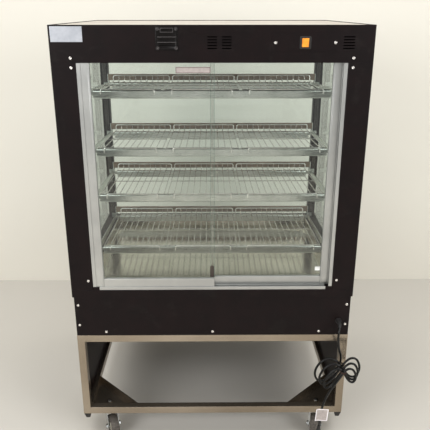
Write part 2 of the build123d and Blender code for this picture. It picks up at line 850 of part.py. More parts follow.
for number, top in enumerate(shelf_tops, start=1):
    first_x = -(rail_half - 3)
    for count, place in zip(wire_counts, rack_names):
        width = (count - 1) * wire_pitch
        wire_xs = [first_x + step * wire_pitch for step in range(count)]
        with BuildPart() as rack:
            front_low = rack_seat(top, rack_front_y) + wire - weld
            back_low = rack_seat(top, rack_back_y) + wire - weld
            upstand_z = back_low + rack_upstand
            long_wire = (
                (rack_front_y, front_low),
                (rack_back_y, back_low),
                (rack_back_y, upstand_z),
                (rack_back_y - wire, upstand_z),
                (rack_back_y - wire, back_low + wire),
                (rack_front_y, front_low + wire),
            )
            for wire_x in wire_xs:
                outline_x(wire_x - wire / 2, long_wire, wire)
            for step in range(cross_wires):
                cross_y = rack_front_y + step * rack_seat_run / (cross_wires - 1)
                cross_z = rack_seat(top, cross_y)
                block(
                    (first_x - wire / 2, first_x + width + wire / 2),
                    (cross_y, cross_y + wire),
                    (cross_z, cross_z + wire),
                )
            block(
                (first_x - wire / 2, first_x + width + wire / 2),
                (rack_back_y - wire - 0.5, rack_back_y + 0.5),
                (upstand_z - weld, upstand_z + wire),
            )
            hook_face_y = front_rail_y - fit
            for hook_x in (wire_xs[1], wire_xs[-2]):
                outline_x(
                    hook_x - wire / 2,
                    (
                        (rack_front_y + wire, front_low),
                        (rack_front_y + wire, front_low + wire),
                        (hook_face_y - wire, front_low + wire),
                        (hook_face_y - wire, top - rack_hook),
                        (hook_face_y, top - rack_hook),
                        (hook_face_y, front_low),
                    ),
                    wire,
                )
        finish(rack, f"shelf_{number}_rack_{place}")
        first_x += width + rack_gap


# Stand: a welded frame of square tube with folded gusset plates in its bottom corners
corner_x = stand_half_x - tube
corner_y = stand_half_y - tube
gusset_lip = stand_z + tube - gusset_z
fold = gusset_thickness * sqrt(2)
with BuildPart() as stand_frame:
    slab(2 * stand_half_x, 2 * stand_half_y, tube_corner, stand_z, stand_height)
    fillet(stand_frame.faces().sort_by(Axis.Z)[-1].edges(), tube_edge)
    fillet(stand_frame.faces().sort_by(Axis.Z)[0].edges(), tube_edge)
    window_zs = (stand_z + tube, plinth_z - tube)
    block((-corner_x, corner_x), (-corner_y, corner_y), (stand_z, plinth_z), Mode.SUBTRACT)
    block((-corner_x, corner_x), (-stand_half_y, stand_half_y), window_zs, Mode.SUBTRACT)
    block((-stand_half_x, stand_half_x), (-corner_y, corner_y), window_zs, Mode.SUBTRACT)
    for axis in (Axis.X, Axis.Y):
        walls = stand_frame.faces().filter_by(axis).sort_by(axis)
        fillet(walls[0].inner_wires().edges() + walls[-1].inner_wires().edges(), tube_edge)
    for side in (-1, 1):
        for low_z in (stand_z, plinth_z - tube):
            tube_zs = (low_z + tube_wall, low_z + tube - tube_wall)
            block(
                (-stand_half_x + tube_wall, stand_half_x - tube_wall),
                both_sides(side, corner_y + tube_wall, stand_half_y - tube_wall),
                tube_zs,
                Mode.SUBTRACT,
            )
            block(
                both_sides(side, corner_x + tube_wall, stand_half_x - tube_wall),
                (-stand_half_y + tube_wall, stand_half_y - tube_wall),
                tube_zs,
                Mode.SUBTRACT,
            )
        for end in (-1, 1):
            block(
                both_sides(side, corner_x + tube_wall, stand_half_x - tube_wall),
                both_sides(end, corner_y + tube_wall, stand_half_y - tube_wall),
                (stand_z, plinth_z - tube_wall),
                Mode.SUBTRACT,
            )
    for side_x in (-1, 1):
        for side_y in (-1, 1):
            far_x = side_x * (corner_x - gusset_leg)
            far_y = side_y * (corner_y - gusset_leg)
            with BuildSketch(Plane.XY.offset(gusset_z)) as plate:
                with BuildLine():
                    Polyline(
                        (side_x * corner_x, side_y * corner_y),
                        (far_x, side_y * corner_y),
                        (side_x * corner_x, far_y),
                        close=True,
                    )
                make_face()
                with Locations((side_x * castor_x, side_y * castor_y)):
                    Circle(stem_radius + axle_clearance, mode=Mode.SUBTRACT)
            extrude(plate.sketch, amount=gusset_thickness)
            with BuildSketch(Plane.XY.offset(gusset_z)) as rim:
                with BuildLine():
                    Polyline(
                        (far_x, side_y * corner_y),
                        (side_x * corner_x, far_y),
                        (side_x * corner_x, far_y + side_y * fold),
                        (far_x + side_x * fold, side_y * corner_y),
                        close=True,
                    )
                make_face()
            extrude(rim.sketch, amount=gusset_lip)
finish(stand_frame, "stand_frame")

# Plugs pressed into the open lower ends of the legs
with BuildPart() as leg_plugs:
    leg_places = [(side_x * leg_x, side_y * leg_y) for side_x in (-1, 1) for side_y in (-1, 1)]
    for centre in leg_places:
        with BuildSketch(Plane.XY.offset(stand_z)) as collar:
            with Locations(centre):
                RectangleRounded(tube - 1, tube - 1, tube_corner)
        with BuildSketch(Plane.XY.offset(stand_z - plug_drop)) as tip:
            with Locations(centre):
                RectangleRounded(plug_end, plug_end, tube_corner)
        loft(sections=[collar.sketch, tip.sketch])
    with BuildSketch(Plane.XY.offset(stand_z)) as shanks:
        with Locations(leg_places):
            RectangleRounded(
                tube - 2 * tube_wall - 2 * fit, tube - 2 * tube_wall - 2 * fit, tube_corner - tube_wall
            )
    extrude(shanks.sketch, amount=plug_insert)
finish(leg_plugs, "leg_plugs")

# Castors: a swivelling fork with its axle bolt, and a wheel
fork_inside = wheel_width / 2 + fork_gap
fork_outside = fork_inside + fork_wall
axle_half = fork_outside + 6.0
head_top = gusset_z - fit
head_low = head_top - fork_head_height
for name, turn in castor_turns.items():
    side_x = -1 if name.endswith("left") else 1
    side_y = -1 if name.startswith("front") else 1
    pivot = Location((side_x * castor_x, side_y * castor_y, 0), (0, 0, turn))
    with BuildPart() as fork:
        with BuildSketch(Plane(pivot).offset(head_low)) as head:
            Circle(fork_head_radius)
        extrude(head.sketch, amount=fork_head_height)
        with BuildSketch(Plane(pivot).offset(head_top)) as stem:
            Circle(stem_radius)
        extrude(stem.sketch, amount=fit + gusset_thickness + nut_height + 2)
        for cheek in (-1, 1):
            start = cheek * fork_inside if cheek > 0 else cheek * fork_outside
            cheek_plane = Plane(pivot * Location((start, 0, 0)) * Plane.YZ.location)
            with BuildSketch(cheek_plane) as side_plate:
                with BuildLine():
                    Polyline(
                        (-fork_head_radius + 3, head_low + 4),
                        (-castor_trail - 12, wheel_radius),
                        (-castor_trail - 4, wheel_radius - 12),
                        (-castor_trail + 6, wheel_radius - 12),
                        (-castor_trail + 15, wheel_radius + 4),
                        (fork_head_radius - 5, head_low - 6),
                        (fork_head_radius - 5, head_low + 4),
                        close=True,
                    )
                make_face()
            extrude(side_plate.sketch, amount=fork_wall)
        axle_plane = Plane(pivot * Location((-axle_half, -castor_trail, wheel_radius)) * Plane.YZ.location)
        with BuildSketch(axle_plane) as axle:
            Circle(axle_radius)
        extrude(axle.sketch, amount=2 * axle_half)
        for end_x in (-axle_half, axle_half - 5.0):
            nut_plane = Plane(pivot * Location((end_x, -castor_trail, wheel_radius)) * Plane.YZ.location)
            with BuildSketch(nut_plane) as nut:
                RegularPolygon(8, 6)
            extrude(nut.sketch, amount=5.0)
        fork_clear = Plane(
            pivot * Location((-fork_inside, -castor_trail, wheel_radius)) * Plane.YZ.location
        )
        with BuildSketch(fork_clear) as clearing:
            Circle(wheel_radius + 3)
            Circle(axle_radius, mode=Mode.SUBTRACT)
        extrude(clearing.sketch, amount=2 * fork_inside, mode=Mode.SUBTRACT)
    finish(fork, f"castor_{name}_fork")

    hub_plane = Plane(pivot * Location((0, -castor_trail, wheel_radius)) * Plane.YX.location)
    half = wheel_width / 2
    shoulder = wheel_radius - wheel_crown
    with BuildPart() as wheel:
        with BuildSketch(hub_plane) as section:
            with BuildLine():
                ThreePointArc((shoulder, -half), (wheel_radius, 0), (shoulder, half))
                for end in (half, -half):
                    Polyline(
                        (shoulder, end),
                        (wheel_rim, end),
                        (wheel_rim, copysign(wheel_web, end)),
                        (wheel_hub, copysign(wheel_web, end)),
                        (wheel_hub, end),
                        (axle_radius + axle_clearance, end),
                    )
                Line((axle_radius + axle_clearance, half), (axle_radius + axle_clearance, -half))
            make_face()
        revolve(section.sketch, axis=Axis(hub_plane.origin, hub_plane.y_dir))
    finish(wheel, f"castor_{name}_wheel")

# Screw heads and castor bolts
service_screws = [
    (side * (right_x - post_screw_in), z, service_y)
    for side in (-1, 1)
    for z in (header_z + 13, header_z - 13, sill_z + 34)
]
plinth_screws = [
    (side * (right_x - plinth_screw_in), z, plinth_face_y - sheet)
    for side in (-1, 1)
    for z in (plinth_z + 40, plinth_z + 112)
]
plinth_low_screws = [
    (side * (right_x - plinth_low_screw_in), plinth_z + 14, plinth_face_y - sheet) for side in (-1, 0, 1)
]
panel_screws = [(panel_x + side * panel_screw_half, panel_z, service_y - 1.0) for side in (-1, 1)]
with BuildPart() as fixings:
    for screw_x, screw_z, face_y in service_screws + plinth_screws + plinth_low_screws + panel_screws:
        with BuildSketch(Plane.XZ.offset(-face_y)) as head:
            with Locations((screw_x, screw_z)):
                Circle(screw_radius)
        extrude(head.sketch, amount=screw_height, taper=25)
    for side_x in (-1, 1):
        for side_y in (-1, 1):
            with BuildSketch(Plane.XY.offset(gusset_z + gusset_thickness)) as nut:
                with Locations((side_x * castor_x, side_y * castor_y)):
                    RegularPolygon(2 * stem_radius - 1, 6)
                    Circle(stem_radius + axle_clearance, mode=Mode.SUBTRACT)
            extrude(nut.sketch, amount=nut_height)
finish(fixings, "screws_and_bolts")

# Mains cord: first its routes. It drops from the gland to a hank tied as a bow, and a tail hangs below
gland_end = Vector(gland_x, plinth_face_y - sheet - gland_length, gland_z)
tie_y = service_y - tie_out
bow_start = pi / 2
bow_end = bow_start + 2 * pi * bow_turns


def bow_point(angle):
    """The hank's centre line: each half turn of the angle goes once round a lobe, to the left first."""
    turns = (angle - bow_start) / (2 * pi)
    size = 1 - bow_shrink * turns
    side = 1 if cos(angle) > 0 else -1
    share = 1 / (1 + sin(angle) ** 2)
    height = bow_heights[side] * sqrt(2) * sin(angle) * cos(angle) * share
    droop = (bow_droops[side] + bow_sag * turns) * cos(angle) ** 2
    return Vector(
        tie_x + size * bow_reaches[side] * cos(angle) * share,
        tie_y - 2 * bow_step * turns,
        tie_z + size * height - droop,
    )


def bow_way(angle):
    """The hank's direction at an angle."""
    return (bow_point(angle + 0.001) - bow_point(angle - 0.001)).normalized()


def biarc(start, start_way, end, end_way):
    """Two tangent arcs from one point and direction to another, in the line being built."""
    chord = end - start
    along = chord.dot(start_way + end_way)
    spread = 2 * (1 - start_way.dot(end_way))
    length = (sqrt(along**2 + spread * chord.dot(chord)) - along) / spread
    first = start + start_way * length
    last = end - end_way * length
    middle = (first + last) * 0.5
    TangentArc(start, middle, tangent=start_way)
    TangentArc(middle, end, tangent=last - first)


def corner_radii(points):
    """The bend radius at each inner point of a route, as large as its two runs allow."""
    radii = []
    for before, here, after in zip(points, points[1:], points[2:]):
        turn = radians((here - before).get_angle(after - here))
        radii.append(0.45 * min((here - before).length, (after - here).length) / tan(turn / 2))
    return radii


drop_route = [
    gland_end,
    gland_end + Vector(0, -13, 0),
    gland_end + Vector(-4, -27, -7),
    gland_end + Vector(-7, -35, -21),
    gland_end + Vector(-7, -36, -50),
    gland_end + Vector(0, -34, -86),
    Vector(tie_x - 1, tie_y, tie_z + 34),
]
drop_way = (drop_route[-1] - drop_route[-2]).normalized()
tail_start = bow_point(bow_end) + bow_way(bow_end) * cord
tail_y = tail_start.Y
tail_route = [tail_start, tail_start + bow_way(bow_end) * 30] + [
    Vector(tie_x - across, tail_y + out, tie_z - down)
    for across, out, down in ((41, -1, 67), (57, 2, 112), (65, 1, 159), (67, 1, 204))
]
tail_end = tail_route[-1]
tail_way = (tail_end - tail_route[-2]).normalized()

with BuildPart() as cord_gland:
    with BuildSketch(Plane.XZ.offset(-(plinth_face_y - sheet))) as flange:
        with Locations((gland_x, gland_z)):
            RegularPolygon(gland_radius + 1.5, 6)
    extrude(flange.sketch, amount=gland_flange)
    with BuildSketch(Plane.XZ.offset(-(plinth_face_y - sheet - gland_flange))) as dome:
        with Locations((gland_x, gland_z)):
            Circle(gland_radius)
    extrude(dome.sketch, amount=gland_length - gland_flange, taper=12)
    with BuildSketch(Plane.XZ.offset(-(plinth_face_y - sheet))) as shank:
        with Locations((gland_x, gland_z)):
            Circle(gland_radius - 2 - fit)
    extrude(shank.sketch, amount=-gland_shank)
finish(cord_gland, "cord_gland")

for route, name in ((drop_route, "cord_drop"), (tail_route, "cord_tail")):
    radii = corner_radii(route)
    with BuildPart() as cord_run:
        with BuildLine() as path:
            FilletPolyline(*route, radius=radii)
        with BuildSketch(Plane(path.line @ 0, z_dir=path.line % 0)):
            Circle(cord / 2)
        sweep()
    finish(cord_run, name)
    expected = pi * (cord / 2) ** 2 * path.wire().length
    print(f"{name}: length {path.wire().length:.1f}, radii {[round(radius, 1) for radius in radii]}")
    print(f"{name}: volume {cord_run.part.volume:.0f}, section times length {expected:.0f}")

bow_nodes = [bow_start + quarter * pi / 4 for quarter in range(8 * bow_turns + 1)]
with BuildPart() as cord_hank:
    with BuildLine() as bow:
        here, way = drop_route[-1] + drop_way * cord, drop_way
        Line(drop_route[-1], here)
        for angle in bow_nodes:
            biarc(here, way, bow_point(angle), bow_way(angle))
            here, way = bow_point(angle), bow_way(angle)
        Line(here, here + way * cord)
    with BuildSketch(Plane(bow.line @ 0, z_dir=bow.line % 0)):
        Circle(cord / 2)
    sweep()
finish(cord_hank, "cord_hank")
bow_length = bow.wire().length
samples = [bow.wire() @ (step / 800) for step in range(801)]
apart = int(4 * cord / (bow_length / 800)) + 1
least = min(
    (samples[first] - samples[second]).length
    for first in range(len(samples))
    for second in range(first + apart, len(samples))
)
print(f"cord_hank: length {bow_length:.1f}, least gap to itself {least - cord:.2f}")
print(f"cord_hank: volume {cord_hank.part.volume:.0f}, section times length {pi * (cord / 2) ** 2 * bow_length:.0f}")

# The tie round the waist of the bow
with BuildPart() as cord_tie:
    tie_depth = 2 * bow_step * bow_turns + cord + 2 * tag_play
    with BuildSketch(Plane.XY.offset(tie_z - tie_height / 2)) as band:
        with Locations((tie_x, tie_y - bow_step * bow_turns)):
            RectangleRounded(tie_opening + 2 * tie_band, tie_depth + 2 * tie_band, tie_opening / 2)
            RectangleRounded(tie_opening, tie_depth, tie_opening / 2 - tie_band, mode=Mode.SUBTRACT)
    extrude(band.sketch, amount=tie_height)
finish(cord_tie, "cord_tie")

# Plug: a tapered relief, a flared body and three flat pins
with BuildPart() as mains_plug:
    plug_plane = Plane(tail_end, x_dir=(0, 1, 0), z_dir=tail_way)
    with BuildSketch(plug_plane) as relief_top:
        Circle(cord / 2 + 1)
    with BuildSketch(plug_plane.offset(plug_relief_length)) as relief_low:
        Circle(plug_relief_end)
    loft(sections=[relief_top.sketch, relief_low.sketch])
    with BuildSketch(plug_plane.offset(plug_relief_length + plug_body_length * 0.7)) as shoulder:
        Ellipse(plug_width / 2, plug_thickness / 2)
    loft(sections=[relief_low.sketch, shoulder.sketch])
    extrude(shoulder.sketch, amount=plug_body_length * 0.3)
    with BuildSketch(plug_plane.offset(plug_relief_length + plug_body_length)) as pins:
        with Locations((pin_circle, 0)):
            Rectangle(pin_width, pin_thickness)
        with Locations((-pin_circle / 2, pin_circle * 0.75, 0)):
            Rectangle(pin_width, pin_thickness, rotation=-30)
        with Locations((-pin_circle / 2, -pin_circle * 0.75, 0)):
            Rectangle(pin_width, pin_thickness, rotation=30)
    extrude(pins.sketch, amount=pin_length)
finish(mains_plug, "mains_plug")

# Tag: a bare card on a sleeve round the cord, just above the plug
with BuildPart() as cord_tag:
    sleeve_radius = cord / 2 + tag_play
    with BuildSketch(Plane(tail_end - tail_way * 3, z_dir=-tail_way)) as sleeve:
        Circle(sleeve_radius + tag_sheet)
        Circle(sleeve_radius, mode=Mode.SUBTRACT)
    extrude(sleeve.sketch, amount=tag_wrap)
    card_plane = Plane(tail_end - Vector(0, sleeve_radius, 0), x_dir=(1, 0, 0), z_dir=(0, -1, 0))
    with BuildSketch(card_plane) as card:
        with Locations((tag_width / 2 - 10, tag_height / 2 + tag_rise)):
            Rectangle(tag_width, tag_height, rotation=-tag_lean)
    extrude(card.sketch, amount=tag_sheet)
finish(cord_tag, "cord_tag")

# Write one file for each sub-part
os.makedirs("parts", exist_ok=True)
for piece in pieces:
    export_step(piece, f"parts/{piece.label}.step")
print(f"{len(pieces)} sub-parts written")
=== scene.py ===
"""Dresses the ambient display case: finishes, round wires, fittings, the mains cord, and the camera.

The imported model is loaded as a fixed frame. Its rigid pieces keep their shape and get rounded
folds and a real finish. Pieces that need a finer form than a solid gives, such as the wire racks,
the castor wheels, the screws and the cord, are modelled here and stand for their CAD pieces.
Lengths are metres, and MM turns a size in millimetres into one.
"""

from __future__ import annotations

import json
import logging
import math
from collections.abc import Iterable
from dataclasses import dataclass, field
from enum import Enum
from typing import Any

import bpy
from mathutils import Euler, Matrix, Vector

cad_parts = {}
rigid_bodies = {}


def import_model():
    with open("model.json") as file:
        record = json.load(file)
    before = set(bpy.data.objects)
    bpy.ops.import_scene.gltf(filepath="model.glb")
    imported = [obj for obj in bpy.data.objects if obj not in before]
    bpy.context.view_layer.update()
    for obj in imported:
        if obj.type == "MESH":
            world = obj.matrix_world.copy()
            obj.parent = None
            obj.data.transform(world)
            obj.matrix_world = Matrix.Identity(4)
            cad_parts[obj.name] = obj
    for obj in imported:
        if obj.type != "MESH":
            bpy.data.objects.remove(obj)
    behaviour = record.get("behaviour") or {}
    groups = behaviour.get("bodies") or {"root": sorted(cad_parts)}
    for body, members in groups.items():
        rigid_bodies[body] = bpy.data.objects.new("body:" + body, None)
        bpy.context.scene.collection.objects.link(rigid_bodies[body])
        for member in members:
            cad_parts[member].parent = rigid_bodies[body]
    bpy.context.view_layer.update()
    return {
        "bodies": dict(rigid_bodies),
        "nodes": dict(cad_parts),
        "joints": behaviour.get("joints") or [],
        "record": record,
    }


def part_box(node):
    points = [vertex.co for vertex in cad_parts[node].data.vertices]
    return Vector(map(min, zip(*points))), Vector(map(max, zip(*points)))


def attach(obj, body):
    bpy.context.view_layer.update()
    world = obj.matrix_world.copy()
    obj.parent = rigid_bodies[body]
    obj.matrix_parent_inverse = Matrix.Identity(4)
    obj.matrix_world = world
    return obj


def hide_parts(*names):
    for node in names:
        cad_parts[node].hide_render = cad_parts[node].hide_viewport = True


LOG = logging.getLogger("display_case")
MM = 0.001
SERVICE_Y = -370 * MM
CASTOR_SPOT = (366 * MM, 312 * MM)
CASTOR_HEADINGS = {"front_left": 25.0, "front_right": -12.0, "rear_left": 160.0, "rear_right": 205.0}
TO_SERVICE = (0, -1, 0)
DOWN = (0, 0, -1)
ALONG_AXLE = (1, 0, 0)

Thing = bpy.types.Object
Tree = bpy.types.NodeTree
Source = bpy.types.Node | bpy.types.NodeSocket
Triple = tuple[float, float, float]
Steps = tuple[tuple[float, float], ...]


def linear(code: str) -> tuple[float, float, float, float]:
    """Turns an sRGB hex colour into linear red, green, blue and alpha.

    Args:
        code: A colour such as "#8c918a".

    Returns:
        Four numbers from 0 to 1.
    """
    levels = [int(code[i : i + 2], 16) / 255 for i in (1, 3, 5)]
    red, green, blue = (v / 12.92 if v <= 0.04045 else ((v + 0.055) / 1.055) ** 2.4 for v in levels)
    return red, green, blue, 1.0


def add_node(
    tree: Tree, kind: str, values: dict[str | int, Any], links: dict[str | int, Source] | None = None
) -> bpy.types.Node:
    """Adds one node with its settings and its incoming links.

    Args:
        tree: The material's node tree.
        kind: The node type after its first part, such as "TexNoise".
        values: Settings of the node, and default values of its inputs by name or number.
        links: What feeds its inputs, by name or number: a socket, or a node for its first output.

    Returns:
        The new node.
    """
    made = tree.nodes.new(f"ShaderNode{kind}")
    for name, value in values.items():
        if isinstance(name, str) and hasattr(made, name):
            setattr(made, name, value)
        else:
            made.inputs[name].default_value = value
    for name, source in (links or {}).items():
        socket = source.outputs[0] if isinstance(source, bpy.types.Node) else source
        tree.links.new(socket, made.inputs[name])
    return made


class Grain(Enum):
    """How a surface's fine pattern runs: a small number draws it out along that axis."""

    EVEN = (1.0, 1.0, 1.0)
    ALONG_X = (0.02, 1.0, 1.0)
    ALONG_Z = (1.0, 1.0, 0.02)


@dataclass(frozen=True)
class Look:
    """A named surface whose nodes are made on its first use."""

    name: str

    def surface(self, tree: Tree) -> Source:
        """Adds the nodes of this surface.

        Args:
            tree: The material's node tree.

        Returns:
            The shader that is shown.
        """
        raise NotImplementedError

    def material(self) -> bpy.types.Material:
        """Returns this surface as a node material, made once."""
        known = bpy.data.materials.get(self.name)
        if known:
            return known
        made = bpy.data.materials.new(self.name)
        made.use_nodes = True
        made.node_tree.nodes.clear()
        add_node(made.node_tree, "OutputMaterial", {}, {"Surface": self.surface(made.node_tree)})
        return made


@dataclass(frozen=True)
class Finish(Look):
    """A solid surface: what it is made of, and how that catches the light.

    The fine grain drives roughness and relief, the broad mottle moves the colour between its two
    hues, and the marks are the scuffs and dust that use leaves, which are duller than the rest.
    The three pattern sizes are in millimetres, and the two heights of upright in metres.
    """

    colour: str
    second: str
    metallic: float = 0.0
    roughness: float = 0.5
    rough_spread: float = 0.08
    grain: Grain = Grain.EVEN
    grain_size: float = 1.0
    bump: float = 0.05
    mottle: float = 60.0
    ior: float = 1.5
    coat: float = 0.0
    shine: float = 0.5
    # Emission strength: a painted glow on a surface that is no lamp
    painted_glow: float = 0.0
    marks: float = 0.0
    marks_size: float = 35.0
    marks_colour: str = "#8a867e"
    upright: tuple[float, float] | None = None

    def grained(self, tree: Tree, place: Source, grain: Grain) -> Source:
        """Adds the fine grain that runs one way.

        Args:
            tree: The material's node tree.
            place: The coordinates that it follows.
            grain: Which way it runs.

        Returns:
            The grain's height.
        """
        run = add_node(tree, "Mapping", {"Scale": grain.value}, {"Vector": place})
        detail = {"Scale": 1 / (self.grain_size * MM), "Detail": 3.0, "Roughness": 0.6}
        return add_node(tree, "TexNoise", detail, {"Vector": run})

    def height(self, tree: Tree, place: Source) -> Source:
        """Adds the whole grain, turned upright between two heights where the piece has posts.

        Args:
            tree: The material's node tree.
            place: The coordinates that it follows.

        Returns:
            The grain's height.
        """
        lying = self.grained(tree, place, self.grain)
        if self.upright is None:
            return lying
        standing = self.grained(tree, place, Grain.ALONG_Z)
        rise = add_node(tree, "SeparateXYZ", {}, {"Vector": place}).outputs["Z"]
        low, high = self.upright
        band = {"operation": "COMPARE", 1: (low + high) / 2, 2: (high - low) / 2}
        near = add_node(tree, "Math", band, {0: rise})
        return add_node(tree, "Mix", {}, {0: near, 2: lying, 3: standing})

    def surface(self, tree: Tree) -> Source:
        """Adds the colour, the grain and the marks of this finish.

        Args:
            tree: The material's node tree.

        Returns:
            The shader that is shown.
        """
        place = add_node(tree, "TexCoord", {}).outputs["Object"]
        fine = self.height(tree, place)
        patches = {"Scale": 1 / (self.mottle * MM), "Detail": 4.0, "Roughness": 0.55}
        broad = add_node(tree, "TexNoise", patches, {"Vector": place})
        blend = add_node(tree, "MapRange", {"From Min": 0.35, "From Max": 0.65}, {"Value": broad})
        hues = {"data_type": "RGBA", 6: linear(self.colour), 7: linear(self.second)}
        colour = add_node(tree, "Mix", hues, {0: blend}).outputs[2]
        smoothest = max(0.02, self.roughness - self.rough_spread)
        roughest = min(1.0, self.roughness + self.rough_spread)
        span = {"From Min": 0.3, "From Max": 0.7, "To Min": smoothest, "To Max": roughest}
        rough = add_node(tree, "MapRange", span, {"Value": fine})
        if self.marks:
            specks = {"Scale": 1 / (self.marks_size * MM), "Detail": 9.0, "Roughness": 0.72, "Distortion": 0.6}
            dirt = add_node(tree, "TexNoise", specks, {"Vector": place})
            share = {"From Min": 0.55, "From Max": 0.78, "To Max": self.marks}
            worn = add_node(tree, "MapRange", share, {"Value": dirt})
            dust = {"data_type": "RGBA", 7: linear(self.marks_colour)}
            colour = add_node(tree, "Mix", dust, {0: worn, 6: colour}).outputs[2]
            rough = add_node(tree, "Mix", {3: 0.75}, {0: worn, 2: rough})
        depth = {"Strength": self.bump, "Distance": self.grain_size * MM * 0.3}
        relief = add_node(tree, "Bump", depth, {"Height": fine})
        body = {
            "Metallic": self.metallic,
            "IOR": self.ior,
            "Coat Weight": self.coat,
            "Coat Roughness": 0.12,
            "Specular IOR Level": self.shine,
            "Emission Strength": self.painted_glow,
            "Emission Color": linear(self.colour),
        }
        feeds = {"Base Color": colour, "Roughness": rough, "Normal": relief}
        return add_node(tree, "BsdfPrincipled", body, feeds)


@dataclass(frozen=True)
class Pane(Look):
    """Clear flat glass: it mirrors a little at each face, more at a slant, and tints what is behind it.

    A pane this thin shifts what is seen by less than a pixel, so rays go straight through.
    """

    tint: str
    wave: float = 180 * MM
    ior: float = 1.5

    def surface(self, tree: Tree) -> Source:
        """Adds the tint, the mirror and the handling smears.

        Args:
            tree: The material's node tree.

        Returns:
            The shader that is shown.
        """
        place = add_node(tree, "TexCoord", {}).outputs["Object"]
        strokes = {"Scale": 1 / self.wave, "Detail": 6.0, "Roughness": 0.7}
        smear = add_node(tree, "TexNoise", strokes, {"Vector": place})
        span = {"From Min": 0.45, "From Max": 0.75, "To Min": 0.01, "To Max": 0.09}
        rough = add_node(tree, "MapRange", span, {"Value": smear})
        back = add_node(tree, "NewGeometry", {}).outputs["Backfacing"]
        ratio = add_node(tree, "MapRange", {"To Min": self.ior, "To Max": 1 / self.ior}, {"Value": back})
        mirror = add_node(tree, "Fresnel", {}, {"IOR": ratio})
        gloss = add_node(tree, "BsdfGlossy", {"Color": linear("#ffffff")}, {"Roughness": rough})
        clear = add_node(tree, "BsdfTransparent", {"Color": linear(self.tint)})
        return add_node(tree, "MixShader", {}, {0: mirror, 1: clear, 2: gloss})


@dataclass(frozen=True)
class StagePaint(Look):
    """Plain matt paint that shows on a sheet's front only, so that the case can be seen from behind."""

    colour: str

    def surface(self, tree: Tree) -> Source:
        """Adds the paint and its open back.

        Args:
            tree: The material's node tree.

        Returns:
            The shader that is shown.
        """
        back = add_node(tree, "NewGeometry", {}).outputs["Backfacing"]
        matt = add_node(tree, "BsdfDiffuse", {"Color": linear(self.colour)})
        return add_node(tree, "MixShader", {}, {0: back, 1: matt, 2: add_node(tree, "BsdfTransparent", {})})


# Satin polyester powder coat on sheet steel: a soft broad sheen broken by a fine orange peel, dusty in places
POWDER_COAT = Finish(
    "satin_black_powder_coat", "#150b0c", "#0f0809", 0.0, 0.42, 0.07, grain_size=1.6, bump=0.08, shine=0.17,
    marks=0.06, marks_size=60, marks_colour="#6d6660",
)
# Stainless square tube, brushed along each tube's own length: warm, streaky, and duller than sheet
BRUSHED_TUBE = Finish(
    "brushed_stainless_tube", "#b4a796", "#988b7a", 0.88, 0.20, 0.06, Grain.ALONG_X, 2.5, 0.02, 400,
    marks=0.10, marks_size=70, marks_colour="#6f6659", upright=(0.131, 0.389),
)
# Bright-annealed stainless sheet: a near mirror with a faint roll direction
BRIGHT_SHEET = Finish(
    "bright_annealed_stainless_sheet", "#cdc8bc", "#bdb7a9", 1.0, 0.13, 0.05, Grain.ALONG_X, 1.0, 0.02,
    200, marks=0.12, marks_size=45, marks_colour="#a39e90",
)
# The header's lid, of the same sheet, painted matt, nearly white and soft: a painted reflection of the pale
# wall that its top mirrors at a grazing angle
LID_PAINTED_REFLECTION = Finish(
    "lid_painted_wall_reflection", "#c6c0b6", "#bcb5ab", 0.0, 0.60, 0.06, Grain.ALONG_X, 1.5, 0.03, 160,
    shine=0.1, marks=0.10, marks_size=50, marks_colour="#b9aea2",
)
# Satin-polished stainless flat and folded angle: grey with soft highlights
SATIN_STAINLESS = Finish(
    "satin_stainless_angle", "#d2d5d0", "#bdc1bb", 0.95, 0.30, 0.08, Grain.ALONG_X, 0.8, 0.05, 90,
    marks=0.12, marks_size=24,
)
# Slotted pilaster strip: dark nickel, which keeps only a thin grey line along each fold
DARK_PILASTER = Finish(
    "dark_nickel_pilaster", "#514f4b", "#3f3d3a", 1.0, 0.32, 0.06, Grain.ALONG_Z, 0.9, 0.03, 80
)
# Bright chromed wire: hard small highlights
CHROMED_WIRE = Finish("bright_chromed_wire", "#dedbd5", "#c6c2bb", 0.94, 0.14, 0.05, bump=0.02, mottle=25)
# The thicker rods of the same racks: the same chrome painted brighter than the wires, a painted highlight
# along their whole length, and rougher so that their broader curve spreads the lamps' light
CHROMED_ROD_PAINTED_BRIGHT = Finish("chromed_rod_painted_highlight", "#f7f6f2", "#e6e4df", 1.0, 0.30, 0.06, bump=0.02, mottle=25)
# Clear-anodised extruded aluminium: pale grey, fine die lines along its length
ANODISED = Finish(
    "clear_anodised_aluminium", "#cfd0ce", "#bebfbe", 1.0, 0.36, 0.06, Grain.ALONG_Z, 0.8, 0.05, 150,
    marks=0.10, marks_size=30,
)
# Bronze-anodised aluminium strip: a dull brown metal
BRONZE_STRIP = Finish(
    "bronze_anodised_strip", "#8a7a6b", "#736354", 0.7, 0.40, 0.08, Grain.ALONG_X, 1.0, 0.04, 80
)
# Zinc-plated pressed steel: bluish, slightly cloudy
ZINC_PLATE = Finish("zinc_plated_pressed_steel", "#d6d8d8", "#b0b3b3", 1.0, 0.24, 0.10, bump=0.04, mottle=14)
# Nickel-plated screw heads: small bright dots
NICKEL_SCREW = Finish("nickel_plated_screw", "#f6f2ee", "#e4dfda", 1.0, 0.20, 0.06, bump=0.02, mottle=8)
# Nickel-plated brass plug pins: a warm, clean shine
PLATED_PIN = Finish("nickel_plated_brass_pin", "#d9d0ba", "#c4b894", 1.0, 0.18, 0.05, bump=0.02, mottle=9)
# Grey thermoplastic-rubber tread, scuffed and dusty
GREY_TREAD = Finish(
    "scuffed_grey_rubber_tread", "#5c5650", "#403b36", 0.0, 0.78, 0.10, bump=0.35, grain_size=1.8,
    mottle=5, marks=0.6, marks_size=9, marks_colour="#b4aea2",
)
# Nylon wheel centre: smooth, off-white and a little yellowed
NYLON_HUB = Finish("yellowed_nylon_wheel_centre", "#b9b5a8", "#a5a091", 0.0, 0.42, 0.06, bump=0.04, mottle=18)
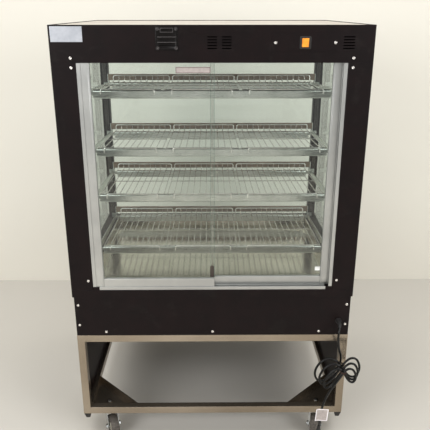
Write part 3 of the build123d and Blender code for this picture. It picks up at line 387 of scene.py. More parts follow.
# Black polypropylene moulding with a light spark texture, which breaks up its sheen
BLACK_MOULDING = Finish("spark_textured_black_polypropylene", "#1d1b1b", "#151414", 0.0, 0.46, 0.08, bump=0.12)
# The fan guard's gloss polypropylene plate; the grey line on each bar is a painted highlight on the proud
# lines' own finish
GUARD_MOULDING = Finish(
    "gloss_black_polypropylene", "#100c0c", "#0c0909", 0.0, 0.34, 0.05, bump=0.03, shine=0.18, mottle=12
)
# The guard's proud lines, painted pale grey as a highlight on each lug, frame and rib, and smoother than the
# plate behind them
GUARD_PAINTED_HIGHLIGHT = Finish(
    "guard_edge_painted_highlight", "#4a4546", "#3a3636", 0.0, 0.24, 0.05, bump=0.02, coat=0.4, mottle=7
)
# Dark brown nylon buffer: dull, and redder than the black parts round it
BROWN_BUFFER = Finish("dark_brown_nylon", "#3c2a22", "#2e201a", 0.0, 0.48, 0.08, bump=0.06)
# Amber polycarbonate rocker, with a weak painted glow standing in for the room light that passes through its
# thickness
AMBER_LENS = Finish(
    "amber_polycarbonate", "#f7a02c", "#e8841a", 0.0, 0.22, 0.05, ior=1.58, coat=0.4, painted_glow=0.22, mottle=14
)
# Flexible cable sheath: soft black rubber, a long highlight down each bend
CABLE_SHEATH = Finish(
    "black_rubber_cable_sheath", "#060505", "#040404", 0.0, 0.26, 0.05, bump=0.04, mottle=20, coat=0.1,
    shine=0.3,
)
# Woven hook-and-loop strap: dark red-brown nylon with a coarse pile, drawn coarser than life to show
HOOK_STRAP = Finish("woven_brown_nylon_strap", "#35211c", "#28180f", 0.0, 0.9, 0.05, bump=0.5, grain_size=1.2)
# Opal acrylic diffuser: milky and even
OPAL_DIFFUSER = Finish("opal_acrylic_diffuser", "#eef0ea", "#e2e5dd", 0.0, 0.35, 0.05, coat=0.2, mottle=90)
# White coated card, slightly warm where handled
COATED_CARD = Finish(
    "white_coated_card", "#f6f2f3", "#e9e2e6", 0.0, 0.5, 0.06, bump=0.04, mottle=18, marks=0.2,
    marks_size=9, marks_colour="#b9a9a4",
)
# Bare field of a printed label: greyish pink ink laid thin
LABEL_INK = Finish("thin_grey_pink_label_ink", "#b8aeaa", "#a89e9b", 0.0, 0.5, 0.05, bump=0.02, mottle=6)
# Darker printed border of the same label, which frames it at a distance
BORDER_INK = Finish("printed_label_border", "#857473", "#7a6a69", 0.0, 0.5, 0.05, bump=0.02, mottle=6)
# Satin metallised polyester rating label, bare: a bluish pale patch on the black
METALLISED_LABEL = Finish(
    "satin_metallised_label", "#bfc2ca", "#adb1ba", 0.35, 0.38, 0.06, bump=0.03, mottle=22
)
# Translucent white nylon clip: the brightest spot inside the doors
WHITE_CLIP = Finish("white_moulded_nylon_clip", "#eeeeec", "#dfe0de", 0.0, 0.35, 0.05, bump=0.03, mottle=8)
# Polished vertical edge of a door pane: deep green-grey, as light runs along inside the glass
GLASS_EDGE = Finish("polished_green_glass_edge", "#6f8579", "#5f766a", 0.0, 0.15, 0.04, bump=0.01, mottle=120)
# Soft PVC glazing bead: a dull grey line between glass and metal
GLAZING_BEAD = Finish("grey_pvc_glazing_bead", "#8f918d", "#7f817d", 0.0, 0.5, 0.06, bump=0.03, mottle=40)
# Fixed float glass: a faint green body tint, clean reflections, and a trace of handling smears
FLOAT_GLASS = Pane("clear_toughened_float_glass", "#f5faf9")
# Door glass: thinner looking and almost colourless, wiped in broad strokes
DOOR_GLASS = Pane("clear_toughened_door_glass", "#fcfdfc", 90 * MM)


def deselect() -> None:
    """Leaves nothing selected, because operators act on all that is."""
    for thing in bpy.context.selected_objects:
        thing.select_set(False)


def pick(thing: Thing) -> None:
    """Makes one object the only selected and active one.

    Args:
        thing: The object.
    """
    deselect()
    thing.select_set(True)
    bpy.context.view_layer.objects.active = thing


def settle(thing: Thing, place: Matrix | None = None) -> None:
    """Puts an object's place into its mesh, so that the object sits at the origin.

    Args:
        thing: The object.
        place: Where it goes first, if it isn't there yet.
    """
    if place is not None:
        thing.matrix_world = place
    pick(thing)
    bpy.ops.object.transform_apply(location=True, rotation=True, scale=True)


def placed(name: str, data: bpy.types.ID) -> Thing:
    """Puts new data into the scene.

    Args:
        name: The new object's name.
        data: Its curve, camera or light.

    Returns:
        The object.
    """
    made = bpy.data.objects.new(name, data)
    bpy.context.scene.collection.objects.link(made)
    return made


def angles(degrees: Triple) -> Euler:
    """Turns three angles from degrees into a rotation.

    Args:
        degrees: The angles about X, Y and Z.

    Returns:
        The rotation.
    """
    return Euler(tuple(math.radians(angle) for angle in degrees))


def stand(place: Iterable[float], degrees: Triple = (0, 0, 0)) -> Matrix:
    """Returns the matrix that turns a piece on the origin and then moves it.

    Args:
        place: Where the piece goes.
        degrees: How it is turned about X, Y and Z.

    Returns:
        The matrix.
    """
    return Matrix.Translation(place) @ angles(degrees).to_matrix().to_4x4()


def enter_edit(thing: Thing, kind: str = "FACE") -> None:
    """Opens an object in edit mode.

    Args:
        thing: The mesh object.
        kind: What is selected there: "FACE", "EDGE" or "VERT".
    """
    pick(thing)
    bpy.ops.object.mode_set(mode="EDIT")
    bpy.ops.mesh.select_mode(type=kind)


def leave_edit() -> None:
    """Goes back to object mode."""
    bpy.ops.object.mode_set(mode="OBJECT")


def select_facing(thing: Thing, way: Triple, both: bool = False) -> None:
    """Opens an object in edit mode with only the faces that look one way selected.

    Args:
        thing: The mesh object.
        way: Which way, as a unit vector.
        both: Takes the faces that look the opposite way too.
    """
    enter_edit(thing)
    bpy.ops.mesh.select_all(action="DESELECT")
    leave_edit()
    for face in thing.data.polygons:
        leaning = face.normal.dot(Vector(way))
        face.select = (abs(leaning) if both else leaning) > 0.9
    bpy.ops.object.mode_set(mode="EDIT")


def step_in(thing: Thing, way: Triple, *steps: tuple[float, float], both: bool = False) -> None:
    """Draws rims round the faces that look one way, each rim inside the last.

    Args:
        thing: The mesh object.
        way: Which way, as a unit vector.
        steps: Each rim's width, and how far the face inside it stands out.
        both: Takes the faces that look the opposite way too.
    """
    select_facing(thing, way, both)
    for width, height in steps:
        bpy.ops.mesh.inset(thickness=width, depth=height)
    leave_edit()


def print_on(thing: Thing, rim: float, inks: Iterable[Look]) -> None:
    """Gives a plate's service side a border and a printed field.

    Args:
        thing: The plate.
        rim: How wide the border is.
        inks: The surfaces of the plate and of the field inside its border.
    """
    for ink in inks:
        thing.data.materials.append(ink.material())
    select_facing(thing, TO_SERVICE)
    bpy.ops.mesh.inset(thickness=rim)
    thing.active_material_index = 1
    bpy.ops.object.material_slot_assign()
    leave_edit()


def dress(thing: Thing, finish: Look) -> None:
    """Gives an object one surface.

    Args:
        thing: The object.
        finish: The surface.
    """
    thing.data.materials.clear()
    thing.data.materials.append(finish.material())


def box(name: str, centre: Iterable[float], size: Iterable[float]) -> Thing:
    """Adds a block as the start of a piece.

    Args:
        name: The piece's name.
        centre: Its middle.
        size: Its length along X, Y and Z.

    Returns:
        The block, settled at the origin.
    """
    deselect()
    bpy.ops.mesh.primitive_cube_add(size=1, location=tuple(centre))
    made = bpy.context.active_object
    made.name = name
    made.scale = tuple(size)
    settle(made)
    return made


def drum(
    name: str, centre: Iterable[float], radius: float, depth: float, turn: Triple = (0, 0, 0), sides: int = 32
) -> Thing:
    """Adds a cylinder as the start of a piece.

    Args:
        name: The piece's name.
        centre: Its middle.
        radius: Its radius.
        depth: Its length along its axis.
        turn: How it is turned from upright, in degrees about X, Y and Z.
        sides: How many sides it has.

    Returns:
        The cylinder, settled at the origin.
    """
    deselect()
    bpy.ops.mesh.primitive_cylinder_add(
        vertices=sides, radius=radius, depth=depth, location=tuple(centre), rotation=angles(turn)
    )
    made = bpy.context.active_object
    made.name = name
    settle(made)
    return made


def bevel(thing: Thing, name: str, width: float, angle: float, segments: int = 2) -> None:
    """Gives a piece a modifier that rounds its sharp edges.

    Args:
        thing: The mesh object.
        name: The modifier's name.
        width: How wide the rounding is.
        angle: The least fold, in degrees, that counts as an edge.
        segments: How many facets it has.
    """
    edge = thing.modifiers.new(name, "BEVEL")
    edge.width = width
    edge.segments = segments
    edge.limit_method = "ANGLE"
    edge.angle_limit = math.radians(angle)


def round_edges(thing: Thing, width: float, segments: int = 2, angle: float = 30.0) -> None:
    """Rounds a finished piece's sharp edges and smooths its faces.

    Args:
        thing: The mesh object.
        width: How wide the rounding is.
        segments: How many facets it has.
        angle: The least fold, in degrees, that counts as an edge.
    """
    bevel(thing, "edge", width, angle, segments)
    pick(thing)
    bpy.ops.object.modifier_apply(modifier="edge")
    bpy.ops.object.shade_smooth_by_angle(angle=math.radians(40))


def hollow(thing: Thing, tool: Thing) -> None:
    """Cuts one piece out of another, and removes the cutter.

    Args:
        thing: The piece that is cut.
        tool: The cutter.
    """
    cut = thing.modifiers.new("cut", "BOOLEAN")
    cut.operation = "DIFFERENCE"
    cut.object = tool
    pick(thing)
    bpy.ops.object.modifier_apply(modifier="cut")
    bpy.data.objects.remove(tool)


def copied(thing: Thing, name: str, place: Matrix) -> Thing:
    """Copies a piece with its own mesh to another place.

    Args:
        thing: The piece to copy.
        name: The copy's name.
        place: Where the copy goes from where the piece is.

    Returns:
        The copy, settled at the origin.
    """
    made = thing.copy()
    made.data = thing.data.copy()
    made.name = name
    bpy.context.scene.collection.objects.link(made)
    settle(made, place)
    return made


def joined(name: str, things: list[Thing]) -> Thing:
    """Joins pieces into one object.

    Args:
        name: The name of the whole.
        things: The pieces, of which the first carries the rest.

    Returns:
        The joined object.
    """
    pick(things[0])
    for thing in things[1:]:
        thing.select_set(True)
    bpy.ops.object.join()
    made = bpy.context.view_layer.objects.active
    made.name = name
    return made


def fit(thing: Thing, finish: Look | None, slot: str, body: str, *nodes: str) -> None:
    """Dresses a finished piece and hangs it on its body.

    Args:
        thing: The piece.
        finish: Its surface, or None where it has its surfaces already.
        slot: The record's material slot; not used.
        body: The body that it moves with.
        nodes: CAD nodes that it stands for.
    """
    if finish:
        dress(thing, finish)
    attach(thing, body)
    if nodes:
        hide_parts(*nodes)


@dataclass
class WireDrawer:
    """Draws round wire along polylines, all in one object that becomes a mesh."""

    name: str
    sides: int = 3
    curve: bpy.types.Curve = field(init=False)

    def __post_init__(self) -> None:
        """Starts an empty curve."""
        self.curve = bpy.data.curves.new(self.name, "CURVE")
        self.curve.dimensions = "3D"
        self.curve.bevel_resolution = self.sides - 1
        self.curve.use_fill_caps = True
        self.curve.bevel_depth = 1.0

    def wire(self, points: list[Vector], radii: float | list[float]) -> None:
        """Adds one wire.

        Args:
            points: Its centre line.
            radii: Its radius, or one for each point.
        """
        line = self.curve.splines.new("POLY")
        line.points.add(len(points) - 1)
        for number, point in enumerate(points):
            line.points[number].co = (*point, 1.0)
            line.points[number].radius = radii[number] if isinstance(radii, list) else radii

    def mesh_object(self) -> Thing:
        """Returns all the wires as one smooth mesh object."""
        pick(placed(self.name, self.curve))
        bpy.ops.object.convert(target="MESH")
        made = bpy.context.view_layer.objects.active
        made.name = self.name
        bpy.ops.object.shade_smooth_by_angle(angle=math.radians(50))
        return made


def rounded(corners: list[Vector], radius: float, steps: int = 4) -> list[Vector]:
    """Rounds the inner corners of a polyline.

    Args:
        corners: The polyline's points.
        radius: How far each corner is cut back along its two runs.
        steps: Points along each rounded corner.

    Returns:
        The points of the rounded line.
    """
    line = [corners[0]]
    for before, here, after in zip(corners, corners[1:], corners[2:]):
        first = here + (before - here).normalized() * radius
        last = here + (after - here).normalized() * radius
        for step in range(steps + 1):
            share = step / steps
            line.append(first * (1 - share) ** 2 + here * 2 * share * (1 - share) + last * share**2)
    line.append(corners[-1])
    return line


@dataclass
class WireRacks:
    """The twelve lift-out racks: fine long wires, three cross wires, and two thick hooked rods."""

    counts: dict[str, int] = field(default_factory=lambda: {"left": 11, "middle": 12, "right": 14})
    wire: float = 3.0 * MM
    rod: float = 4.2 * MM
    drop: float = 22.0 * MM
    seat: float = 0.5 * MM
    wire_bend: float = 6.0 * MM
    rod_bend: float = 8.0 * MM
    front_hook: float = 16.0 * MM
    back_hook: float = 24.0 * MM
    cross_shares: Triple = (0.02, 0.5, 0.97)
    cross_drop: float = 0.85

    def model(self, number: int, place: str, count: int) -> tuple[Thing, Thing]:
        """Models one rack on the place of its CAD piece.

        Args:
            number: The shelf, 1 at the top.
            place: Which of the three racks it is.
            count: How many long wires it has.

        Returns:
            The wires and the two rods, each as a mesh.
        """
        low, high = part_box(f"shelf_{number}_rack_{place}")
        half, thick = self.wire / 2, self.rod / 2
        front_y, back_y = low[1] + self.wire - thick, high[1] - half
        fall = self.drop / (back_y - front_y)
        front_z = low[2] + self.drop + self.wire + half - self.seat
        end_z = high[2] - thick
        pitch = (high[0] - low[0] - self.wire) / (count - 1)
        xs = [low[0] + half + step * pitch for step in range(count)]
        wires = WireDrawer(f"rack_{number}_{place}")
        for x in xs:
            run = ((front_y, front_z), (back_y, front_z - self.drop), (back_y, end_z))
            wires.wire(rounded([Vector((x, y, z)) for y, z in run], self.wire_bend), half)
        for share in self.cross_shares:
            y = front_y + half + share * (back_y - front_y - 2 * self.wire) + self.wire
            z = front_z - fall * (y - front_y) - self.wire * self.cross_drop
            wires.wire([Vector((x, y, z)) for x in (xs[0] - half, xs[-1] + half)], half)
        rods = WireDrawer(f"rack_rods_{number}_{place}", 4)
        for x_from, x_to, y, z, turned in (
            (xs[1], xs[-2], front_y, front_z, self.front_hook),
            (xs[0], xs[-1], back_y, end_z, self.back_hook),
        ):
            run = ((x_from, z - turned), (x_from, z), (x_to, z), (x_to, z - turned))
            rods.wire(rounded([Vector((x, y, level)) for x, level in run], self.rod_bend, 6), thick)
        return wires.mesh_object(), rods.mesh_object()

    def build(self) -> None:
        """Models every rack and hangs it on its body."""
        for number in range(1, 5):
            for place, count in self.counts.items():
                wires, rods = self.model(number, place, count)
                fit(wires, CHROMED_WIRE, "rack_wire", f"rack_{number}_{place}", f"shelf_{number}_rack_{place}")
                # The rods' chrome is painted brighter than the wires' as a painted highlight
                fit(rods, CHROMED_ROD_PAINTED_BRIGHT, "rack_wire", f"rack_{number}_{place}")


@dataclass
class Plug:
    """The moulded plug: ribbed relief, grips and three flat pins, drawn upright with its pins down."""

    neck: float = 4.7 * MM
    groove: float = 4.5 * MM
    ridge: float = 1.6 * MM
    relief: float = 22 * MM
    body: float = 26 * MM
    half_width: float = 18.8 * MM
    half_thickness: float = 13.8 * MM
    pin: Triple = (1.6 * MM, 6.3 * MM, 17 * MM)
    pin_circle: float = 9 * MM

    def moulding(self) -> Thing:
        """Models the rubber body, with its top at the origin, by drawing a ring down through its stations."""
        made = drum("plug_body", (0, 0, -0.5 * MM), self.neck, 1 * MM, sides=40)
        stations: list[Triple] = []
        for rib in range(5):
            top = 2.5 * MM + rib * 3.6 * MM
            swell = (4.8 + 0.5 * rib) * MM
            stations += [(top, swell, swell), (top + self.ridge, swell, swell)]
            stations.append((top + self.ridge + 0.3 * MM, self.groove, self.groove))
        stations += [(self.relief, 7 * MM, 7 * MM), (self.relief + 5 * MM, 11 * MM, 9 * MM)]
        for grip in range(4):
            top = self.relief + (9 + 3.4 * grip) * MM
            wide = (13.6 + 1.5 * grip) * MM
            deep = (10.6 + 0.9 * grip) * MM
            stations += [(top, wide, deep), (top + self.ridge, wide - 0.7 * MM, deep - 0.7 * MM)]
        end = self.relief + self.body
        stations += [(down, self.half_width, self.half_thickness) for down in (end - 3 * MM, end)]
        depth, wide, deep = 1 * MM, self.neck, self.neck
        select_facing(made, DOWN)
        for down, next_wide, next_deep in stations:
            bpy.ops.mesh.extrude_region_move(TRANSFORM_OT_translate={"value": (0, 0, depth - down)})
            growth = (next_deep / deep, next_wide / wide, 1)
            bpy.ops.transform.resize(value=growth, center_override=(0.0, 0.0, -down))
            depth, wide, deep = down, next_wide, next_deep
        leave_edit()
        round_edges(made, 0.7 * MM, 2, 50)
        return made

    def pins(self) -> Thing:
        """Models the three pins with rounded edges as one mesh."""
        made = []
        middle = 1 * MM - self.relief - self.body - self.pin[2] / 2
        for x, y, turn in ((0, 1, 0), (0.75, -0.5, -30), (-0.75, -0.5, 30)):
            pin = box("pin", (0, 0, middle), self.pin)
            round_edges(pin, 0.5 * MM)
            settle(pin, stand((x * self.pin_circle, y * self.pin_circle, 0), (0, 0, turn)))
            made.append(pin)
        return joined("plug_pins", made)

    def build(self, end: Vector, way: Vector) -> list[Thing]:
        """Hangs the plug on the cord's end.

        Args:
            end: Where the cord ends.
            way: Which way it points there.

        Returns:
            The body and the pins.
        """
        place = Matrix.Translation(end) @ Vector(DOWN).rotation_difference(way).to_matrix().to_4x4()
        pieces = [self.moulding(), self.pins()]
        for piece in pieces:
            settle(piece, place)
        fit(pieces[0], BLACK_MOULDING, "black_plastic", "case", "mains_plug")
        fit(pieces[1], PLATED_PIN, "castor_steel", "case")
        return pieces


@dataclass
class Tag:
    """The bare card on the cord: a white border, a tinted field, and one edge folded forward."""

    size: Triple = (42 * MM, 0.6 * MM, 46 * MM)
    turned: float = 4.0
    from_corner: Triple = (-30.339 * MM, 0.3 * MM, -21.002 * MM)
    sleeve: tuple[float, float] = (4.75 * MM, 18 * MM)
    sleeve_place: tuple[float, float] = (352 * MM, 141 * MM)
    border: float = 3.2 * MM
    folded: float = 9 * MM
    fold_angle: float = 24.0

    def card(self) -> Thing:
        """Models the card flat round the origin, then folds its left edge."""
        made = box("tag_card", (0, 0, 0), self.size)
        print_on(made, self.border, (COATED_CARD, LABEL_INK))
        crease = self.folded - self.size[0] / 2
        enter_edit(made)
        bpy.ops.mesh.select_all(action="SELECT")
        bpy.ops.mesh.bisect(plane_co=(crease, 0, 0), plane_no=(1, 0, 0))
        bpy.ops.mesh.select_all(action="DESELECT")
        leave_edit()
        for corner in made.data.vertices:
            corner.select = corner.co.x < crease - 0.1 * MM
        enter_edit(made, "VERT")
        turn = math.radians(-self.fold_angle)
        bpy.ops.transform.rotate(value=turn, orient_axis="Z", center_override=(crease, 0.0, 0.0))
        leave_edit()
        return made

    def build(self) -> Thing:
        """Hangs the card where its CAD piece is, with the sleeve that holds it to the cord."""
        low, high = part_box("cord_tag")
        card = self.card()
        corner = Vector((high[0], low[1], high[2]))
        settle(card, stand(corner + Vector(self.from_corner), (0, self.turned, 0)))
        x, z = self.sleeve_place
        wrap = drum("tag_wrap", (x, (low[1] + high[1]) / 2, z), *self.sleeve, (0, -2.5, 0), 28)
        wrap.data.materials.append(BLACK_MOULDING.material())
        round_edges(wrap, 0.3 * MM)
        whole = joined("tag", [card, wrap])
        fit(whole, None, "tag_card", "case", "cord_tag")
        return whole


@dataclass
class MainsCord:
    """The cord from its gland, through the tied hank, to the plug.

    A lobe of the hank has a reach, a height, a droop, and what each turn adds to the droop.
    """

    diameter: float = 7.5 * MM
    turns: int = 3
    step: float = 8.4 * MM
    shrink: float = 0.14
    left_lobe: tuple[float, ...] = (90, 94, 30, 9)
    right_lobe: tuple[float, ...] = (70, 90, 4, 6)
    tie: Triple = (418 * MM, -410 * MM, 331 * MM)
    exit: Triple = (410 * MM, -380 * MM, 467 * MM)
    drop: tuple[Triple, ...] = (
        (0, 0, 0), (0, -13, 0), (-4, -27, -7), (-7, -35, -21), (-7, -36, -50), (0, -34, -86), (7, -30, -102),
    )
    knot_run: float = 30 * MM
    tail: tuple[Triple, ...] = ((377, -1, 264), (361, 2, 219), (353, 1, 172), (351, 1, 127))
    relief_length: float = 26 * MM
    relief_radii: tuple[float, float] = (6.4 * MM, 4.5 * MM)
    relief_rib: tuple[float, float] = (1.6 * MM, 0.5 * MM)

    def bow_point(self, angle: float) -> Vector:
        """Returns the hank's centre line at an angle, where each half turn is a lobe.

        Args:
            angle: How far round the bow, in radians.

        Returns:
            The point.
        """
        turns = (angle - math.pi / 2) / (2 * math.pi)
        size = 1 - self.shrink * turns
        over, across = math.sin(angle), math.cos(angle)
        reach, height, droop, growth = self.right_lobe if across > 0 else self.left_lobe
        share = 1 / (1 + over**2)
        rise = height * math.sqrt(2) * over * across * share
        sag = (droop + growth * turns) * across**2
        offset = Vector((size * reach * across * share * MM, -2 * self.step * turns, (size * rise - sag) * MM))
        return Vector(self.tie) + offset

    def route(self) -> list[Vector]:
        """Returns the control points of the whole cord."""
        points = [Vector(self.exit) + Vector(offset) * MM for offset in self.drop]
        first, whole, steps = math.pi / 2, 2 * math.pi * self.turns, 16 * self.turns
        points += [self.bow_point(first + whole * number / steps) for number in range(steps + 1)]
        last = first + whole
        way = (self.bow_point(last + 0.001) - self.bow_point(last - 0.001)).normalized()
        start = self.bow_point(last) + way * self.diameter
        points.append(start + way * self.knot_run)
        return points + [Vector((x * MM, start.y + shift * MM, z * MM)) for x, shift, z in self.tail]

    def line(self, name: str) -> Thing:
        """Returns the route as one smooth curve object with no thickness.

        Args:
            name: The object's name.

        Returns:
            The curve object.
        """
        curve = bpy.data.curves.new(name, "CURVE")
        curve.dimensions = "3D"
        curve.resolution_u = 8
        spline = curve.splines.new("NURBS")
        points = self.route()
        spline.points.add(len(points) - 1)
        for spot, point in zip(spline.points, points):
            spot.co = (*point, 1.0)
        spline.order_u = 3
        spline.use_endpoint_u = True
        return placed(name, curve)

    def relief(self, centre: list[Vector]) -> Thing:
        """Models the ribbed, tapered strain relief over the cord's first stretch.

        Args:
            centre: Points along the cord's centre line, from its exit.

        Returns:
            The relief as a mesh.
        """
        (thick, thin), (pitch, depth) = self.relief_radii, self.relief_rib
        points, radii, run = [], [], 0.0
        for before, here in zip(centre, centre[1:]):
            for part in range(4):
                if run > self.relief_length:
                    continue
                groove = depth if int(run / pitch) % 2 else 0.0
                points.append(before.lerp(here, part / 4))
                radii.append(thick - (thick - thin) * run / self.relief_length - groove)
                run += (here - before).length / 4
        drawer = WireDrawer("strain_relief", 6)
        drawer.wire(points, radii)
        return drawer.mesh_object()

    def build(self) -> None:
        made = self.line("mains_cord")
        bare = bpy.data.meshes.new_from_object(made)
        centre = [vertex.co.copy() for vertex in bare.vertices]
        made.data.bevel_depth = self.diameter / 2
        made.data.bevel_resolution = 4
        made.data.use_fill_caps = True
        fit(made, CABLE_SHEATH, "cord_sheath", "case", "cord_drop", "cord_hank", "cord_tail")
        relief = self.relief(centre)
        fit(relief, BLACK_MOULDING, "black_plastic", "case")
        way = (centre[-1] - centre[-2]).normalized()
        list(Plug().build(centre[-1], way))
        Tag().build()


@dataclass
class SheetMetal:
    """Rounds the folded edges of the frame's rigid pieces and gives each its finish."""

    nodes: dict[str, Thing]
    fold: float = 0.9 * MM
    fine_fold: float = 0.25 * MM
    fine: tuple[str, ...] = ("switch_panel", "switch_bezel", "cord_tie")

    def finishes(self) -> dict[str, Look]:
        """Returns which finish each CAD piece has."""
        groups = {
            POWDER_COAT: "base_shell plinth_panel service_posts customer_posts header_shell header_ceiling "
            "switch_panel",
            BRIGHT_SHEET: "deck_tray",
            # The lid's near-white finish is a painted reflection of the pale wall
            LID_PAINTED_REFLECTION: "header_lid",
            BRUSHED_TUBE: "stand_frame",
            ANODISED: "door_tracks side_channels left_door_stile right_door_stile left_door_bottom_rail "
            "right_door_bottom_rail",
            SATIN_STAINLESS: "shelf_1_frame shelf_2_frame shelf_3_frame shelf_4_frame",
            DARK_PILASTER: "pilasters",
            BRONZE_STRIP: "ticket_rails",
            OPAL_DIFFUSER: "light_strip",
            BLACK_MOULDING: "switch_bezel leg_plugs cord_gland",
            HOOK_STRAP: "cord_tie",
            BROWN_BUFFER: "meeting_block",
            AMBER_LENS: "switch_rocker",
            FLOAT_GLASS: "side_glass customer_glass",
            DOOR_GLASS: "left_door_glass right_door_glass",
            ZINC_PLATE: " ".join(f"castor_{corner}_fork" for corner in CASTOR_HEADINGS),
        }
        return {name: finish for finish, names in groups.items() for name in names.split()}

    def build(self) -> None:
        """Dresses the CAD pieces."""
        for name, finish in self.finishes().items():
            thing = self.nodes[name]
            dress(thing, finish)
            if isinstance(finish, Pane):
                continue
            thing.modifiers.new("weld", "WELD").merge_threshold = 0.01 * MM
            flat = thing.modifiers.new("flat", "DECIMATE")
            flat.decimate_type = "DISSOLVE"
            flat.angle_limit = math.radians(0.5)
            bevel(thing, "fold", self.fine_fold if name in self.fine else self.fold, 40)


@dataclass
class Castors:
    """The four castors' wheels and the small turned parts on their forks.

    A wheel is modelled once, with its axle along X, its swivel axis at the origin and its trail
    towards -Y, and each castor's copy is turned to its own heading.
    """

    axle: Triple = (0.0, -31 * MM, 37.5 * MM)
    shoulder: float = 35 * MM
    width: float = 28 * MM
    crown_step: tuple[float, float] = (7 * MM, 1.018)
    sunk_side: Steps = ((7.3 * MM, 0), (0.4 * MM, -6.5 * MM))
    web: tuple[float, float] = (27.6 * MM, 15.4 * MM)
    hub: Steps = ((13.5 * MM, 0), (0.5 * MM, 5.8 * MM), (3.0 * MM, 0), (0.4 * MM, -1.2 * MM))
    rib: Triple = (21.6 * MM, 2.2 * MM, 13 * MM)
    rib_count: int = 6
    rib_reach: float = 20.5 * MM
    race_z: float = 99.2 * MM
    race: tuple[float, float] = (25.6 * MM, 4.4 * MM)
    cheek: float = 19.5 * MM

    def turned(self, name: str, x: float, radius: float, depth: float, sides: int = 32) -> Thing:
        """Adds a round form on the axle.

        Args:
            name: Its name.
            x: How far along the axle its middle is.
            radius: Its radius.
            depth: Its length along the axle.
            sides: How many sides it has.

        Returns:
            The form.
        """
        return drum(name, Vector(self.axle) + Vector((x, 0, 0)), radius, depth, (0, 90, 0), sides)

    def tyre(self) -> Thing:
        """Models the rubber tyre with its crowned tread and deep sides."""
        made = self.turned("tyre", 0, self.shoulder, self.width, 72)
        aside, swell = self.crown_step
        enter_edit(made, "VERT")
        for x, growth in ((0.0, self.axle[2] / self.shoulder), (aside, swell), (-aside, swell)):
            bpy.ops.mesh.select_all(action="SELECT")
            bpy.ops.mesh.bisect(plane_co=(x, 0, 0), plane_no=ALONG_AXLE)
            bpy.ops.transform.resize(value=(1, growth, growth), center_override=self.axle)
        leave_edit()
        step_in(made, ALONG_AXLE, *self.sunk_side, both=True)
        round_edges(made, 2.4 * MM, 3)
        return made

    def centre(self) -> Thing:
        """Models the nylon centre: a web, a raised hub and six ribs on each face."""
        made = self.turned("wheel_centre", 0, *self.web, 48)
        step_in(made, ALONG_AXLE, *self.hub, both=True)
        pieces = [made]
        for number in range(self.rib_count):
            rib = box("rib", (0, 0, self.rib_reach), self.rib)
            settle(rib, stand(self.axle, (360 / self.rib_count * number, 0, 0)))
            pieces.append(rib)
        whole = joined("wheel_centre", pieces)
        round_edges(whole, 0.5 * MM)
        return whole

    def trim(self) -> Thing:
        """Models the swivel race under the head, and a washer and domed cap on each end of the axle."""
        race = drum("race", (0, 0, self.race_z), *self.race, sides=56)
        step_in(race, DOWN, (4 * MM, 0), (0.4 * MM, -1.6 * MM))
        pieces = [race]
        for side in (-1, 1):
            pieces.append(self.turned("washer", side * (self.cheek + 0.5 * MM), 9.6 * MM, 1.0 * MM))
            pieces.append(self.turned("cap", side * (self.cheek + 6.3 * MM), 4.9 * MM, 1.8 * MM))
        whole = joined("castor_trim", pieces)
        round_edges(whole, 0.45 * MM)
        return whole

    def build(self) -> None:
        """Copies the wheel and the trim to each castor."""
        patterns = {
            "tyre": (self.tyre(), GREY_TREAD, "castor_tyre", "wheel"),
            "centre": (self.centre(), NYLON_HUB, "castor_tyre", "wheel"),
            "trim": (self.trim(), ZINC_PLATE, "castor_steel", "fork"),
        }
        for corner, heading in CASTOR_HEADINGS.items():
            x = CASTOR_SPOT[0] * (-1 if corner.endswith("left") else 1)
            y = CASTOR_SPOT[1] * (-1 if corner.startswith("front") else 1)
            for kind, (pattern, finish, slot, body) in patterns.items():
                made = copied(pattern, f"castor_{kind}_{corner}", stand((x, y, 0), (0, 0, heading)))
                stands_for = [f"castor_{corner}_wheel"] if kind == "tyre" else []
                fit(made, finish, slot, f"{corner}_{body}", *stands_for)
        for pattern, *_ in patterns.values():
            bpy.data.objects.remove(pattern)


